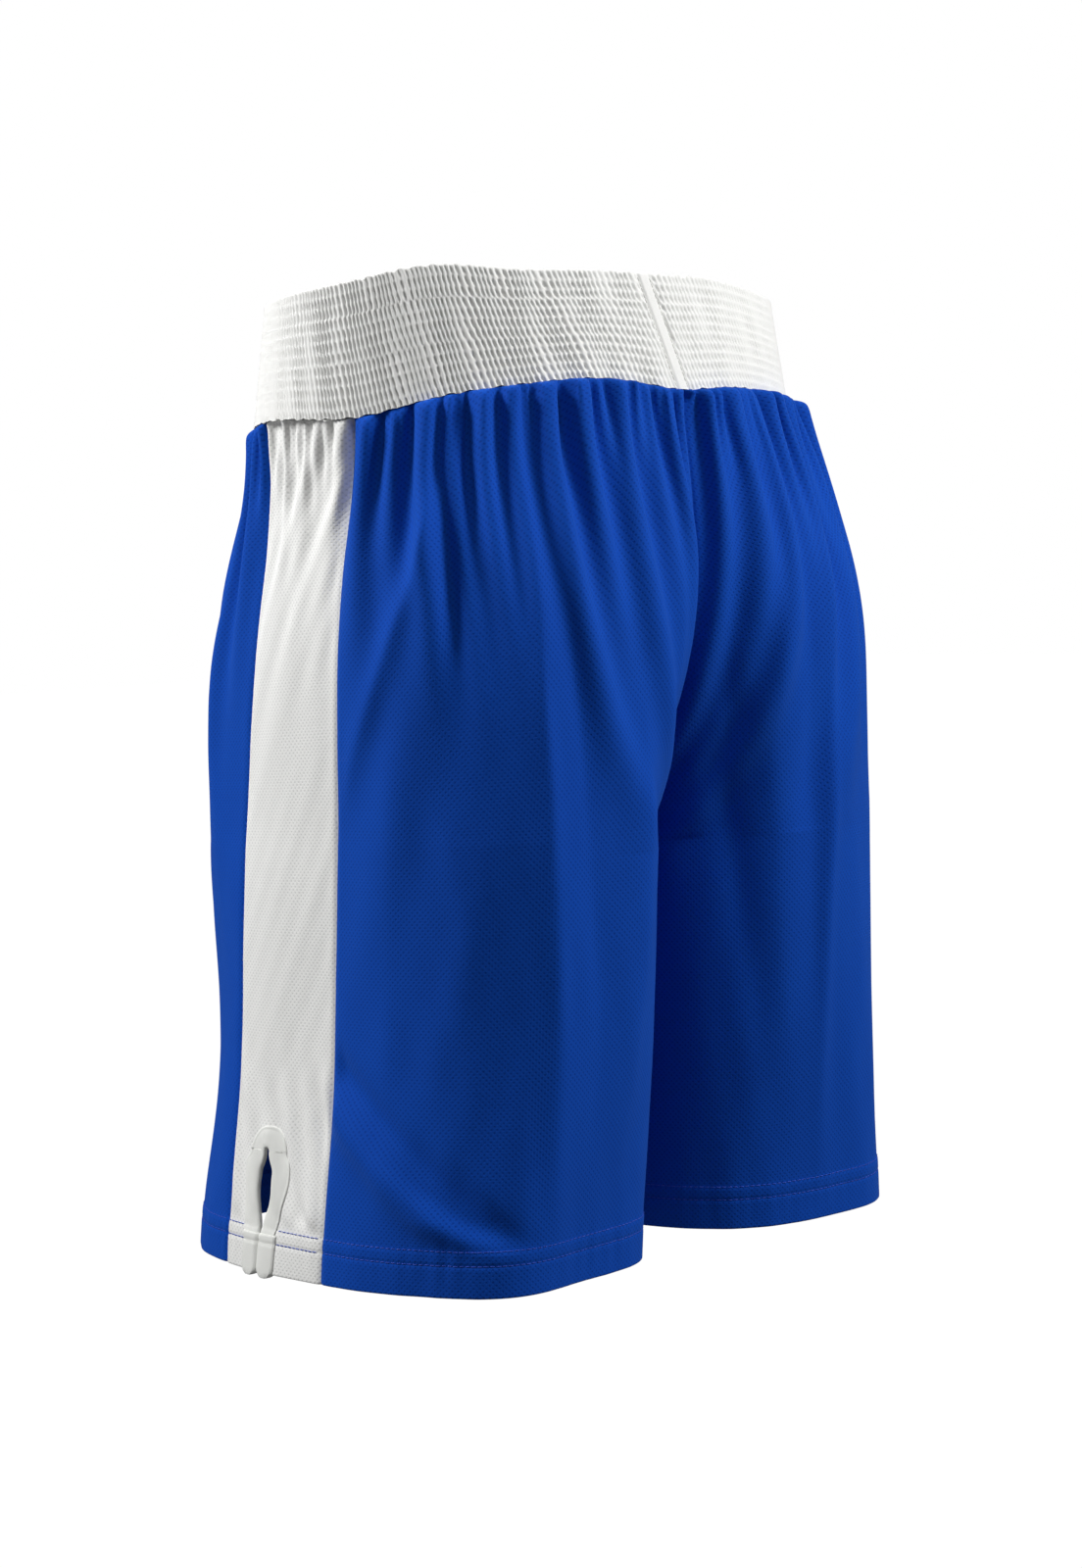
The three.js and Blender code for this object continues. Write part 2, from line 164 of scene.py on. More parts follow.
def centre_angle(z):
    """The angle of the centre seam above the crotch and of the inseam below it."""
    centre_x, radius_x, _, radius_y, power = outline(z)
    reach = np.clip((centre_x - CENTRE_CLEARANCE) / radius_x, 0, 1)
    at_centre = np.arccos(-(reach ** (1 / power)))
    at_inseam = np.pi - np.arcsin((0.15 / radius_y) ** (1 / power))
    return np.minimum(at_centre, at_inseam)


def body_point(angle, z, relief):
    """A point of the left leg that stands relief outside the outline."""
    angle, z, relief = same_shape(angle, z, relief)
    centre_x, radius_x, centre_y, radius_y, power = outline(z)
    cos, sin = np.cos(angle), np.sin(angle)
    normal_x = signed_power(cos, 2 - power) / radius_x
    normal_y = signed_power(sin, 2 - power) / radius_y
    length = np.hypot(normal_x, normal_y)
    x = centre_x + radius_x * signed_power(cos, power) + relief * normal_x / length
    y = centre_y + radius_y * signed_power(sin, power) + relief * normal_y / length
    return np.stack([x, y, z * (1 + y * math.tan(BAND_TILT) / SEAM_HEIGHT)], -1)


def spread(z_rows, side, start, shares):
    """Angles across a blue panel, and how far each lies from the side seam and from the centre seam.

    Just above the crotch the centre seam runs nearly level, so only the last columns follow it.
    """
    fine = start[:, None] + (side * np.pi - start[:, None]) * np.linspace(0, 1, 700)
    points = body_point(fine, z_rows[:, None], 0.0)
    steps = np.linalg.norm(np.diff(points, axis=1), axis=2)
    runs = np.concatenate([np.zeros((len(z_rows), 1)), np.cumsum(steps, axis=1)], axis=1)
    ends = side * centre_angle(z_rows)
    angles, distances = [], []
    for run, row, end in zip(runs, fine, ends):
        order = slice(None, None, side)
        length = np.interp(end, row[order], run[order])
        drawn_in = 1 - length / run[-1]
        sharpness = 1 + 3 * max(1 - 2 * drawn_in, 0) ** 2
        wanted = run[-1] * (shares - drawn_in * shares**sharpness)
        angles.append(np.interp(wanted, run, row))
        distances.append(np.stack([wanted, length - wanted]))
    distances = np.array(distances)
    return np.array(angles), distances[:, 0], distances[:, 1]


# ---------------- small helpers


def smooth(value, low, high):
    t = np.clip((value - low) / (high - low), 0, 1)
    return t * t * (3 - 2 * t)


def bell(offset, width, power=2):
    """A smooth bump: 1 at no offset, and nearly 0 at twice the width."""
    return np.exp(-(np.abs(offset / width) ** power))


def ripples(x, y, wavelength_x, wavelength_y, seed, layers=6):
    """Seeded smooth unevenness between about -1 and 1, with longer waves one way than the other."""
    rng = np.random.default_rng(seed)
    total = 0.0
    for _ in range(layers):
        turn = rng.uniform(-0.9, 0.9)
        scale = rng.uniform(0.7, 1.6)
        phase = rng.uniform(0, 2 * np.pi)
        total = total + np.sin(2 * np.pi * (x / wavelength_x + turn * y / wavelength_y) / scale + phase)
    return total / math.sqrt(layers)


# How the waist seam and the top of the band rise and dip round the body: direction in degrees from the
# wearer's left towards the back, height in mm, and spread in degrees.
SEAM_WAVES = ((14, -7.5, 14), (60, 4.0, 18), (90, -3.5, 14), (150, -2.0, 25), (-60, 1.5, 40))
TOP_WAVES = ((27, 5.5, 13), (-17, 2.0, 20), (90, -1.5, 20), (145, -5.5, 30))


def settle(vertices):
    """Lifts and lowers the waist the way the worn band lies."""
    x, y, z = vertices.T
    direction = np.degrees(np.arctan2(y, x))

    def wave(parts):
        total = 0.0
        for centre, height, width in parts:
            off = (direction - centre + 180) % 360 - 180
            total = total + height * bell(off, width)
        return total

    up_the_band = np.clip((z - SEAM_HEIGHT) / BAND_HEIGHT, 0, 1)
    lift = wave(SEAM_WAVES) * (1 - up_the_band) + wave(TOP_WAVES) * up_the_band
    return np.stack([x, y, z + lift * smooth(z, SEAM_HEIGHT - 110, SEAM_HEIGHT)], -1)


def add_to_scene(name, data):
    obj = bpy.data.objects.new(name, data)
    bpy.context.scene.collection.objects.link(obj)
    return obj


def add_mesh(name, vertices, faces, cloth):
    """A mesh object from arrays: vertices in mm, quads as rows of four, cloth as the fabric's own mm."""
    vertices = settle(np.asarray(vertices, float))
    mesh = bpy.data.meshes.new(name)
    mesh.vertices.add(len(vertices))
    mesh.vertices.foreach_set("co", (vertices * MM).astype(np.float32).ravel())
    mesh.loops.add(faces.size)
    mesh.loops.foreach_set("vertex_index", faces.astype(np.int32).ravel())
    mesh.polygons.add(len(faces))
    mesh.polygons.foreach_set("loop_start", np.arange(0, faces.size, faces.shape[1], dtype=np.int32))
    mesh.polygons.foreach_set("loop_total", np.full(len(faces), faces.shape[1], np.int32))
    mesh.polygons.foreach_set("use_smooth", np.ones(len(faces), bool))
    mesh.update(calc_edges=True)
    mesh.validate()
    attribute = mesh.attributes.new("cloth_mm", "FLOAT_VECTOR", "POINT")
    flat = np.concatenate([cloth, np.zeros((len(cloth), 1))], axis=1)
    attribute.data.foreach_set("vector", flat.astype(np.float32).ravel())
    return add_to_scene(name, mesh)


def quads(index):
    """Faces between the neighbouring rows and columns of one or more grids of vertex numbers."""
    low, high = index[..., :-1, :], index[..., 1:, :]
    corners = [low[..., :-1], low[..., 1:], high[..., 1:], high[..., :-1]]
    return np.stack(corners, -1).reshape(-1, 4)


def tube_quads(index):
    """The same, with the last column joined to the first."""
    return quads(np.concatenate([index, index[..., :1]], axis=-1))


def grid_faces(rows, columns, offset=0):
    return quads(np.arange(rows * columns).reshape(rows, columns) + offset)


def sheet_object(name, outer, inner, cloth, mirrored):
    """A closed piece of cloth: an outer grid, an inner grid and a rim with corners of its own."""
    rows, columns = outer.shape[:2]
    rim = [(slice(None), 0), (-1, slice(None)), (slice(None, None, -1), -1), (0, slice(None, None, -1))]
    parts = [outer.reshape(-1, 3), inner.reshape(-1, 3)]
    flat = [cloth.reshape(-1, 2)] * 2
    faces = [grid_faces(rows, columns), grid_faces(rows, columns, rows * columns)[:, ::-1]]
    count = 2 * rows * columns
    for row, column in rim:
        edge = outer[row, column]
        strip = np.stack([edge, inner[row, column]])
        parts.append(strip.reshape(-1, 3))
        flat.append(np.tile(cloth[row, column], (2, 1)))
        faces.append(grid_faces(2, len(edge), count)[:, ::-1])
        count += 2 * len(edge)
    vertices, faces = np.concatenate(parts), np.concatenate(faces)
    if mirrored:
        vertices = vertices * (-1, 1, 1)
        faces = faces[:, ::-1]
    return add_mesh(name, vertices, faces, np.concatenate(flat))


# ---------------- the relief of the cloth

EDGE_STEPS = (0.0, 0.35, 0.8, 1.4, 2.2)  # extra columns next to a seam
LEG_SEEDS = {"left": 11, "right": 29}

# Long folds below the waist of a blue panel: share of the way to the centre seam at the top and at the end,
# length and height.
LONG_FOLDS = {
    "left_back": (
        (0.06, 0.02, 70, 3.0), (0.17, 0.03, 150, 6.0), (0.31, 0.05, 340, 8.0), (0.42, 0.45, 130, 5.0),
        (0.52, 0.56, 250, 6.5), (0.61, 0.66, 120, 4.5), (0.70, 0.78, 280, 7.5), (0.80, 0.89, 160, 4.5),
        (0.90, 0.95, 190, 4.5),
    ),
    "right_back": (
        (0.08, 0.05, 130, 4.0), (0.19, 0.17, 290, 7.0), (0.31, 0.33, 150, 4.5), (0.43, 0.48, 330, 8.0),
        (0.56, 0.63, 150, 4.5), (0.67, 0.76, 270, 7.0), (0.79, 0.87, 150, 4.5), (0.90, 0.94, 170, 4.5),
    ),
    "left_front": (
        (0.07, 0.04, 120, 4.0), (0.21, 0.13, 230, 6.5), (0.34, 0.36, 140, 4.5), (0.47, 0.52, 280, 7.5),
        (0.60, 0.66, 130, 4.5), (0.73, 0.80, 230, 6.5), (0.88, 0.92, 160, 4.5),
    ),
    "right_front": (
        (0.09, 0.05, 140, 4.0), (0.24, 0.18, 200, 6.5), (0.37, 0.41, 260, 7.0), (0.51, 0.55, 130, 4.5),
        (0.63, 0.70, 240, 6.5), (0.77, 0.83, 140, 4.5), (0.89, 0.93, 170, 4.5),
    ),
}

# Soft folds that hang down the legs: share of the way to the centre seam and height above the hem where the
# fold starts and where it ends, then how far it stands out and its half width as a share.
LEG_FOLDS = {
    "left_back": (
        (0.275, 410, 0.03, 250, 4.5, 0.036), (0.262, 410, 0.285, 310, -3.2, 0.018),
        (0.45, 390, 0.40, 50, 3.2, 0.024), (0.67, 300, 0.55, 60, 4.0, 0.055),
        (0.36, 400, 0.31, 50, -2.4, 0.050), (0.14, 300, 0.12, 40, 2.2, 0.060),
        (0.52, 400, 0.49, 90, -2.0, 0.035), (0.85, 420, 0.80, 250, 3.0, 0.035),
    ),
    "right_back": (
        (0.80, 410, 0.56, 60, 4.0, 0.055), (0.61, 400, 0.50, 40, 3.0, 0.020),
        (0.93, 400, 0.65, 120, -3.4, 0.050), (0.70, 410, 0.53, 110, -1.8, 0.030),
        (0.36, 400, 0.35, 60, 3.4, 0.045), (0.16, 380, 0.10, 90, 2.6, 0.050),
    ),
    "left_front": (
        (0.24, 400, 0.08, 180, 3.6, 0.045), (0.50, 410, 0.47, 60, 4.0, 0.040),
        (0.38, 390, 0.33, 80, -2.4, 0.045), (0.74, 400, 0.62, 90, 3.6, 0.045),
    ),
    "right_front": (
        (0.20, 400, 0.10, 120, 3.2, 0.045), (0.42, 410, 0.38, 60, 3.8, 0.040),
        (0.56, 390, 0.52, 80, -2.4, 0.045), (0.78, 400, 0.66, 90, 3.8, 0.045),
    ),
}


def leg_folds(share, z, folds):
    total = 0.0
    for top, start_z, end, end_z, height, width in folds:
        fallen = (start_z - z) / (start_z - end_z)
        centre = top + (end - top) * np.clip(fallen, -0.1, 1.2)
        strength = smooth(fallen, -0.05, 0.3) * (1 - smooth(fallen, 0.65, 1.15))
        total = total + height * strength * bell(share - centre, width, 1.6)
    return total


def gathers(share, drop, seed, count, height, reach):
    """Small pleats packed along the waist seam: round ridges with narrow valleys, each fading by itself."""
    rng = np.random.default_rng(seed)
    widths = rng.uniform(0.4, 1.9, count)
    edges = np.concatenate([[0], np.cumsum(widths)]) / widths.sum()
    phase = np.interp(share, edges, np.arange(count + 1))
    index = np.clip(phase.astype(int), 0, count - 1)
    heights = height * (rng.uniform(0.3, 1.4, count))[index]
    reaches = reach * (rng.uniform(0.3, 1.8, count))[index]
    ridge = np.abs(np.sin(np.pi * phase)) ** 0.85
    return heights * ridge * bell(drop, reaches, 1.3) * (1 - np.exp(-drop / 2.0))


def long_folds(share, drop, folds):
    """Ridges that start at the waist, widen, drift sideways and fade."""
    total = np.zeros_like(share)
    for top, end, length, height in folds:
        fallen = np.clip(drop / length, 0, 1.4)
        centre = top + (end - top) * np.sin(np.clip(fallen, 0, 1) * np.pi / 2)
        width = 0.028 + 0.042 * fallen
        strength = smooth(drop, 0, 30) * (1 - smooth(fallen, 0.35, 1.35))
        total = total + height * strength * bell(share - centre, width, 1.7)
    return total


DRAPE_STEP = 4.0  # height of a row of the simulated cloth
DRAPE_COLUMNS = {"front": 96, "side": 34, "back": 96}
DRAPE_ROUNDS = 420
CLOTH_ROOM = (-3.0, 12.0)  # how far the cloth can lie inside and outside the outline
CURL_BACK = 0.0008  # how strongly the cloth hangs back towards the body each round
PANEL_ORDER = ("front", "side", "back")


def white_angles(z_rows, shares):
    """Outline angles across the white panel, front seam to back seam."""
    front, back = seam_y("front", z_rows), seam_y("back", z_rows)
    return angle_at_y(z_rows[:, None], front[:, None] + (back - front)[:, None] * shares)


def drape_angles(z_rows):
    """Outline angles of the simulated cloth: from the centre front round the side to the centre back."""
    parts = []
    for panel in PANEL_ORDER:
        shares = np.linspace(0, 1, DRAPE_COLUMNS[panel] + 1)
        if panel == "side":
            parts.append(white_angles(z_rows, shares))
            continue
        start = angle_at_y(z_rows, seam_y(panel, z_rows))
        angles = spread(z_rows, FACES[panel], start, shares)[0]
        parts.append(angles[:, :0:-1] if panel == "front" else angles[:, 1:])
    return np.concatenate(parts, axis=1)


def pull_together(points, move, ahead, behind, rest, stiffness):
    """Adds to move one relaxation of the springs between two slices of a grid of points."""
    gap = points[ahead] - points[behind]
    length = np.linalg.norm(gap, axis=-1)
    step = gap * (0.5 * stiffness * (length - rest) / length)[..., None]
    move[behind] += step
    move[ahead] -= step


def bend_away(moved, axis):
    """The second difference of how far the cloth has moved, along one direction of the grid."""
    result = np.zeros_like(moved)
    if axis == 1:
        result[:, 1:-1] = 0.5 * (moved[:, :-2] + moved[:, 2:]) - moved[:, 1:-1]
    else:
        result[1:-1] = 0.5 * (moved[:-2] + moved[2:]) - moved[1:-1]
        result[0] = moved[1] - moved[0]
    return result


def fullness(z, columns):
    """How much wider the cloth is cut than the outline it hangs on, as a share."""
    drop = SEAM_HEIGHT - z[:, None]
    column = np.arange(columns)
    first = DRAPE_COLUMNS["front"]
    last = first + DRAPE_COLUMNS["side"]
    white = smooth(column, first - 6, first + 3) * (1 - smooth(column, last - 3, last + 6))
    uneven = 1 + 0.4 * ripples(column, 0 * column, 26, 50, 4)
    blue = 0.60 * uneven * bell(drop, 75, 0.9) + 0.016
    pale = 0.24 * bell(drop, 40, 0.9) + 0.008
    return blue + (pale - blue) * white


def drape_start(leg, z):
    """The folds the cloth starts from: gathers at the waist and, on the blue panels, long folds."""
    parts = []
    for number, panel in enumerate(PANEL_ORDER):
        shares = np.linspace(0, 1, DRAPE_COLUMNS[panel] + 1)
        share, drop = np.meshgrid(shares[::-1] if panel == "front" else shares, SEAM_HEIGHT - z)
        seed = LEG_SEEDS[leg] + number
        if panel == "side":
            relief = gathers(share, drop + 3, seed, count=9, height=5.0, reach=40)
        else:
            relief = gathers(share, drop + 3, seed, count=16, height=9.0, reach=56)
            relief = relief + long_folds(share, drop, LONG_FOLDS[f"{leg}_{panel}"])
        parts.append(relief if panel == PANEL_ORDER[-1] else relief[:, :-1])
    return np.concatenate(parts, axis=1)


@functools.cache
def drape(leg):
    """Relaxes a leg's cloth, cut wider than the body, between the waist seam and the centre seams.

    Springs along, across and on the diagonal hold the cut size, bending keeps the folds round, and the body
    inside holds the cloth out. Returns how far each point has moved along the outline, outwards and up.
    """
    z = np.arange(0, SEAM_HEIGHT + 0.1, DRAPE_STEP)
    angles = drape_angles(z)
    columns = angles.shape[1]
    heights = np.broadcast_to(z[:, None], angles.shape)
    flat = body_point(angles, heights, 0.0)
    outward = unit(body_point(angles, heights, 1.0) - flat)
    sideways = unit(np.gradient(flat, axis=1))
    points = flat + outward * drape_start(leg, z)[..., None]
    full = fullness(z, columns)
    across = np.linalg.norm(np.diff(flat, axis=1), axis=-1) * (1 + 0.5 * (full[:, 1:] + full[:, :-1]))
    down = np.linalg.norm(np.diff(flat, axis=0), axis=-1)
    slant = np.hypot(0.5 * (across[1:] + across[:-1]), 0.5 * (down[:, 1:] + down[:, :-1]))
    springs = (
        (np.s_[:, 1:], np.s_[:, :-1], across, 0.9),
        (np.s_[1:], np.s_[:-1], down, 0.6),
        (np.s_[1:, 1:], np.s_[:-1, :-1], slant, 0.15),
        (np.s_[1:, :-1], np.s_[:-1, 1:], slant, 0.15),
    )
    stiff_across = 0.004 + 0.10 * smooth((SEAM_HEIGHT - z)[:, None, None], 0, 120)
    stiff_down = 0.25
    sewn_top = points[-1].copy()
    edge = np.arange(columns)
    sewn = (1 - smooth(np.minimum(edge, columns - 1 - edge), 0, 3))[:, None]
    for _ in range(DRAPE_ROUNDS):
        move = np.zeros_like(points)
        for spring in springs:
            pull_together(points, move, *spring)
        points = points + 0.5 * move
        moved = points - flat
        bend = bend_away(bend_away(moved, 1), 1)
        bend_down = bend_away(moved, 0)
        moved = moved - stiff_across * bend + stiff_down * bend_down
        out = (moved * outward).sum(-1, keepdims=True)
        limited = np.clip(out, *CLOTH_ROOM)
        moved = moved + outward * (limited - out - CURL_BACK * (limited - 1.0))
        moved = moved * (1 - sewn)
        points = flat + moved
        points[-1] = sewn_top
    moved = points - flat
    return np.stack([(moved * sideways).sum(-1), (moved * outward).sum(-1), moved[..., 2]], -1)


def curve_weights(t):
    """The weights of four neighbours on a smooth curve through them."""
    return (
        0.5 * (-(t**3) + 2 * t**2 - t),
        0.5 * (3 * t**3 - 5 * t**2 + 2),
        0.5 * (-3 * t**3 + 4 * t**2 + t),
        0.5 * (t**3 - t**2),
    )


def drape_at(leg, panel, share, z):
    """How far the cloth has moved along, out and up, at a share across a panel from its side seam.

    The white panel's share runs from its front seam to its back seam.
    """
    field = drape(leg)
    share, z = same_shape(share, z)
    first = {"front": 0, "side": DRAPE_COLUMNS["front"]}
    first["back"] = first["side"] + DRAPE_COLUMNS["side"]
    across = 1 - share if panel == "front" else share
    column = first[panel] + np.clip(across, 0, 1) * DRAPE_COLUMNS[panel]
    row = np.clip(z / DRAPE_STEP, 0, field.shape[0] - 1)
    i, j = np.floor(row).astype(int), np.floor(column).astype(int)
    total = 0.0
    for up, weight_up in zip((-1, 0, 1, 2), curve_weights(row - i)):
        rows = np.clip(i + up, 0, field.shape[0] - 1)
        for right, weight_right in zip((-1, 0, 1, 2), curve_weights(column - j)):
            columns = np.clip(j + right, 0, field.shape[1] - 1)
            total = total + field[rows, columns] * (weight_up * weight_right)[..., None]
    return total


DRAWN_IN = 2.8  # how far the cloth is drawn in above the hips
DRAWN_IN_FRONT_LEFT = 4.6  # how much more that is at the front left, or less at the back right


def cloth_point(leg, panel, share, angle, z, relief):
    """A point of the draped cloth that stands relief further out than the drape.

    pleats lets the drape fade out at the waist seam, and turned runs from -1 at the back right to 1 at the
    front left.
    """
    moved = drape_at(leg, panel, share, z)
    angle, z, relief = same_shape(angle, z, relief)
    pleats = 1 - np.exp(-np.clip(SEAM_HEIGHT + 0.4 - z, 0, None) / 1.6)
    sideways = unit(body_point(angle + 1e-3, z, 0.0) - body_point(angle - 1e-3, z, 0.0))
    here = body_point(angle, z, 0.0)
    turned = (here[..., 0] * SIDES[leg] - here[..., 1]) / (1.41 * HALF_WIDTHS[-1])
    taken_in = smooth(z, 160, SEAM_HEIGHT - 60) * (1 - 0.3 * smooth(z, SEAM_HEIGHT - 45, SEAM_HEIGHT - 4))
    drawn_in = (DRAWN_IN + DRAWN_IN_FRONT_LEFT * turned) * taken_in
    points = body_point(angle, z, relief + (moved[..., 1] - drawn_in) * pleats)
    points = points + sideways * moved[..., :1]
    points[..., 2] += moved[..., 2] * pleats
    return points


def vent_flare(y, z):
    """The cloth turns out a little beside the vent."""
    return 3.0 * np.clip(1 - z / 100, 0, 1) ** 2 * bell(y - VENT_Y, 34)


def broad_waves(angle, z, leg):
    """Slow unevenness over the whole leg, which is continuous across the side seams."""
    seed = LEG_SEEDS[leg]
    across = angle * 85
    hem = 1 - smooth(z, 0, 260)
    slow = ripples(across, z, 95, 420, seed) * (0.9 + 0.9 * hem)
    small = ripples(across, z, 24, 60, seed + 1) * 0.18
    return (slow + small) * (1 - smooth(z, 360, 430))


def hem_relief(z, run, seed):
    """The doubled hem with its twin rows of stitches, slightly puckered between them."""
    doubled = 0.55 * (1 - smooth(z, HEM_DEPTH - 0.6, HEM_DEPTH + 0.9))
    grooves = sum(bell(z - height, 0.75) for height in HEM_STITCH_HEIGHTS.values())
    pucker = ripples(run, z, 7.5, 60, seed) * 0.16 * bell(z - 15, 12)
    lip = np.clip(1 - z / 0.9, 0, 1)
    return doubled - 0.5 * grooves + pucker - 0.9 * (1 - np.sqrt(1 - lip**2))


def seam_relief(distance, depth=1.3, width=1.5):
    """The cloth rolls into a seam."""
    return -depth * bell(np.maximum(distance, 0), width, 1.5)


def tuck_relief(z):
    """The top edge of a panel goes in behind the waistband."""
    return -(BAND_LAYERS + 0.7) * smooth(z, SEAM_HEIGHT - 0.1, SEAM_HEIGHT + 1.3)


PANEL_WIDTHS = (329, 318, 292, 245, 184)  # along a blue panel at evenly spaced heights, hem to waist


def drag_fold(share, z):
    """A soft slanting fold just above the hem: a ridge beside a valley.

    It lies at share 0.05 of the panel 92 mm above the hem, and at share 0.27 at 31 mm.
    """
    off = share - 0.05 - 0.22 * (92 - z) / 61
    step = 4.6 * bell(off + 0.05, 0.045) - 3.6 * bell(off - 0.03, 0.04)
    return step * smooth(z, 18, 38) * (1 - smooth(z, 96, 145))


def blue_relief(to_side, to_centre, angle, z, leg, face):
    """Relief over the drape. to_side and to_centre are the distances to the panel's seams, in mm."""
    seed = LEG_SEEDS[leg] + (3 if face == "back" else 7)
    share = np.clip(to_side / along(PANEL_WIDTHS, z), 0, 1)
    above_crotch = smooth(z, CROTCH_HEIGHT - 60, CROTCH_HEIGHT + 30)
    inner_thigh = 1 - 0.8 * smooth(share, 0.6, 0.95) * (1 - above_crotch)
    y = body_point(angle, z, 0.0)[..., 1]
    folds = leg_folds(share, z, LEG_FOLDS[f"{leg}_{face}"]) * smooth(to_side, 0, 12)
    waves = (broad_waves(angle, z, leg) + folds) * smooth(to_centre, 0, 40) * inner_thigh
    seams = seam_relief(to_side) + seam_relief(to_centre)
    drag = drag_fold(share, z) if (leg, face) == ("left", "back") else 0.0
    hem = hem_relief(z, to_side, seed + 4)
    drop = np.clip(SEAM_HEIGHT - z, 0, None)
    small_gathers = gathers(share, drop, seed + 5, count=33, height=1.7, reach=15)
    waves = waves + small_gathers * smooth(to_centre, 0, 6)
    return waves + vent_flare(y, z) + seams + hem + tuck_relief(z) + drag * smooth(to_side, 0, 8)


def white_share(y, z):
    """Share of the way across the white panel from its front seam to its back seam."""
    front, back = seam_y("front", z), seam_y("back", z)
    return (y - front) / (back - front)


def white_relief(y, angle, z, leg):
    """Relief of the white panel over the drape: creases from the waist and wrinkles round the vent."""
    drop = np.clip(SEAM_HEIGHT - z, 0, None)
    seed = LEG_SEEDS[leg] + 13
    to_front, to_back = y - seam_y("front", z), seam_y("back", z) - y
    edge_fade = smooth(to_front, 0, 6) * smooth(to_back, 0, 6)
    creases = ripples(y - 0.5 * z, z, 21, 300, seed + 1) * 0.7 * bell(drop, 220)
    wrinkles = ripples(y + 0.4 * z, z, 19, 90, seed + 3) * 1.5
    creases = creases + wrinkles * smooth(z, 24, 34) * (1 - smooth(z, 60, 150))
    seams = seam_relief(to_front) + seam_relief(to_back)
    waves = broad_waves(angle, z, leg)
    hem = hem_relief(z, y, seed + 2)
    return creases * edge_fade + waves + vent_flare(y, z) + seams + hem + tuck_relief(z)


def white_points(leg, y, z, lift, z_relief=None):
    """Points lift mm above the white panel's outer face; z_relief is where its relief is taken from."""
    angles = angle_at_y(z, y)
    relief = white_relief(y, angles, z if z_relief is None else z_relief, leg)
    return cloth_point(leg, "side", white_share(y, z), angles, z, relief + lift)


# ---------------- cloth panels


def row_heights(low, high):
    """Heights of the rows of a panel: closer together at the hem, at the crotch and at the waist."""
    close = np.array([0, 0.2, 0.5, 0.9, 1.6, 2.6, 4.0, 6.0])
    heights = [
        close,
        np.arange(8, 30, 1.0),
        np.arange(30, SEAM_HEIGHT - 60, 2.4),
        np.arange(SEAM_HEIGHT - 60, SEAM_HEIGHT - 3, 1.3),
        np.array([-3, -2.2, -1.6, -1.1, -0.6, -0.2, 0.3, 1.6]) + SEAM_HEIGHT,
        CROTCH_HEIGHT + close,
        CROTCH_HEIGHT - close,
    ]
    rows = np.unique(np.round(np.concatenate(heights), 2))
    rows = rows[(rows > low + 0.05) & (rows < high - 0.05)]
    rows = rows[np.concatenate([[True], np.diff(rows) > 0.12])]
    return np.concatenate([[low], rows, [high]])


def column_shares(length, step):
    """Shares across a panel of about that length, with close columns next to both seams."""
    middle = np.linspace(EDGE_STEPS[-1], length - EDGE_STEPS[-1], int(length / step))
    return np.concatenate([EDGE_STEPS[:-1], middle, length - np.array(EDGE_STEPS[:-1])[::-1]]) / length


def cloth_thickness(z):
    return np.where(z < HEM_DEPTH, 2 * KNIT + 0.3, KNIT) * (1 - 0.75 * np.clip(1 - z / 0.9, 0, 1) ** 2)


def blue_grids(leg, face, shares, z_rows, lifts):
    """Grids of points, one for each lift above a blue panel, and the distances to its two seams."""
    side = FACES[face]
    start = angle_at_y(z_rows, seam_y(face, z_rows) + side * SEAM_CLEARANCE)
    angles, to_side, to_centre = spread(z_rows, side, start, shares)
    z = np.broadcast_to(z_rows[:, None], angles.shape)
    relief = blue_relief(to_side, to_centre, angles, z, leg, face)
    grids = [cloth_point(leg, face, shares, angles, z, relief + lift) for lift in lifts]
    return grids, to_side, to_centre


def keep_off_centre(points):
    """Both legs stay on their own side of the centre plane."""
    points[..., 0] = np.maximum(points[..., 0], CENTRE_CLEARANCE)
    return points


def close_centre(face, z_rows, to_centre, outer, inner):
    """Moves the cloth beside the centre seam sideways, so that both legs meet on the centre plane."""
    seam = body_point(FACES[face] * centre_angle(z_rows), z_rows, 0.0)[:, 0]
    gap = (outer[:, -1, 0] - seam) * smooth(z_rows, CROTCH_HEIGHT - 60, CROTCH_HEIGHT)
    shift = gap[:, None] * (1 - smooth(to_centre, 0, 14))
    outer[..., 0] -= shift
    inner[..., 0] -= shift


def blue_panel(leg, face):
    z_rows = row_heights(0.0, PANEL_TOP)
    lifts = (0.0, -cloth_thickness(z_rows)[:, None])
    shares = column_shares(length=300.0, step=2.1)
    (outer, inner), to_side, to_centre = blue_grids(leg, face, shares, z_rows, lifts)
    close_centre(face, z_rows, to_centre, outer, inner)
    outer, inner = keep_off_centre(outer), keep_off_centre(inner)
    cloth = np.stack([to_side, np.broadcast_to(z_rows[:, None], to_side.shape)], -1)
    if face == "front":
        outer, inner, cloth = outer[:, ::-1], inner[:, ::-1], cloth[:, ::-1]
    return sheet_object(f"{leg}_{face}_cloth", outer, inner, cloth, leg == "right")


def slit_half_width(z):
    """Half the width of the vent's opening: nearly closed at the hem and widest above the middle."""
    closed = 0.8 + (VENT_END_RADIUS - 0.8) * smooth(z, 14, VENT_HEIGHT)
    return closed + 4.2 * smooth(z, 16, 46) * (1 - smooth(z, 51, VENT_HEIGHT))


def white_sheet(name, leg, y, z):
    outer = white_points(leg, y, z, 0.0)
    inner = white_points(leg, y, z, -cloth_thickness(z))
    return sheet_object(name, outer, inner, np.stack([y, z], -1), leg == "right")


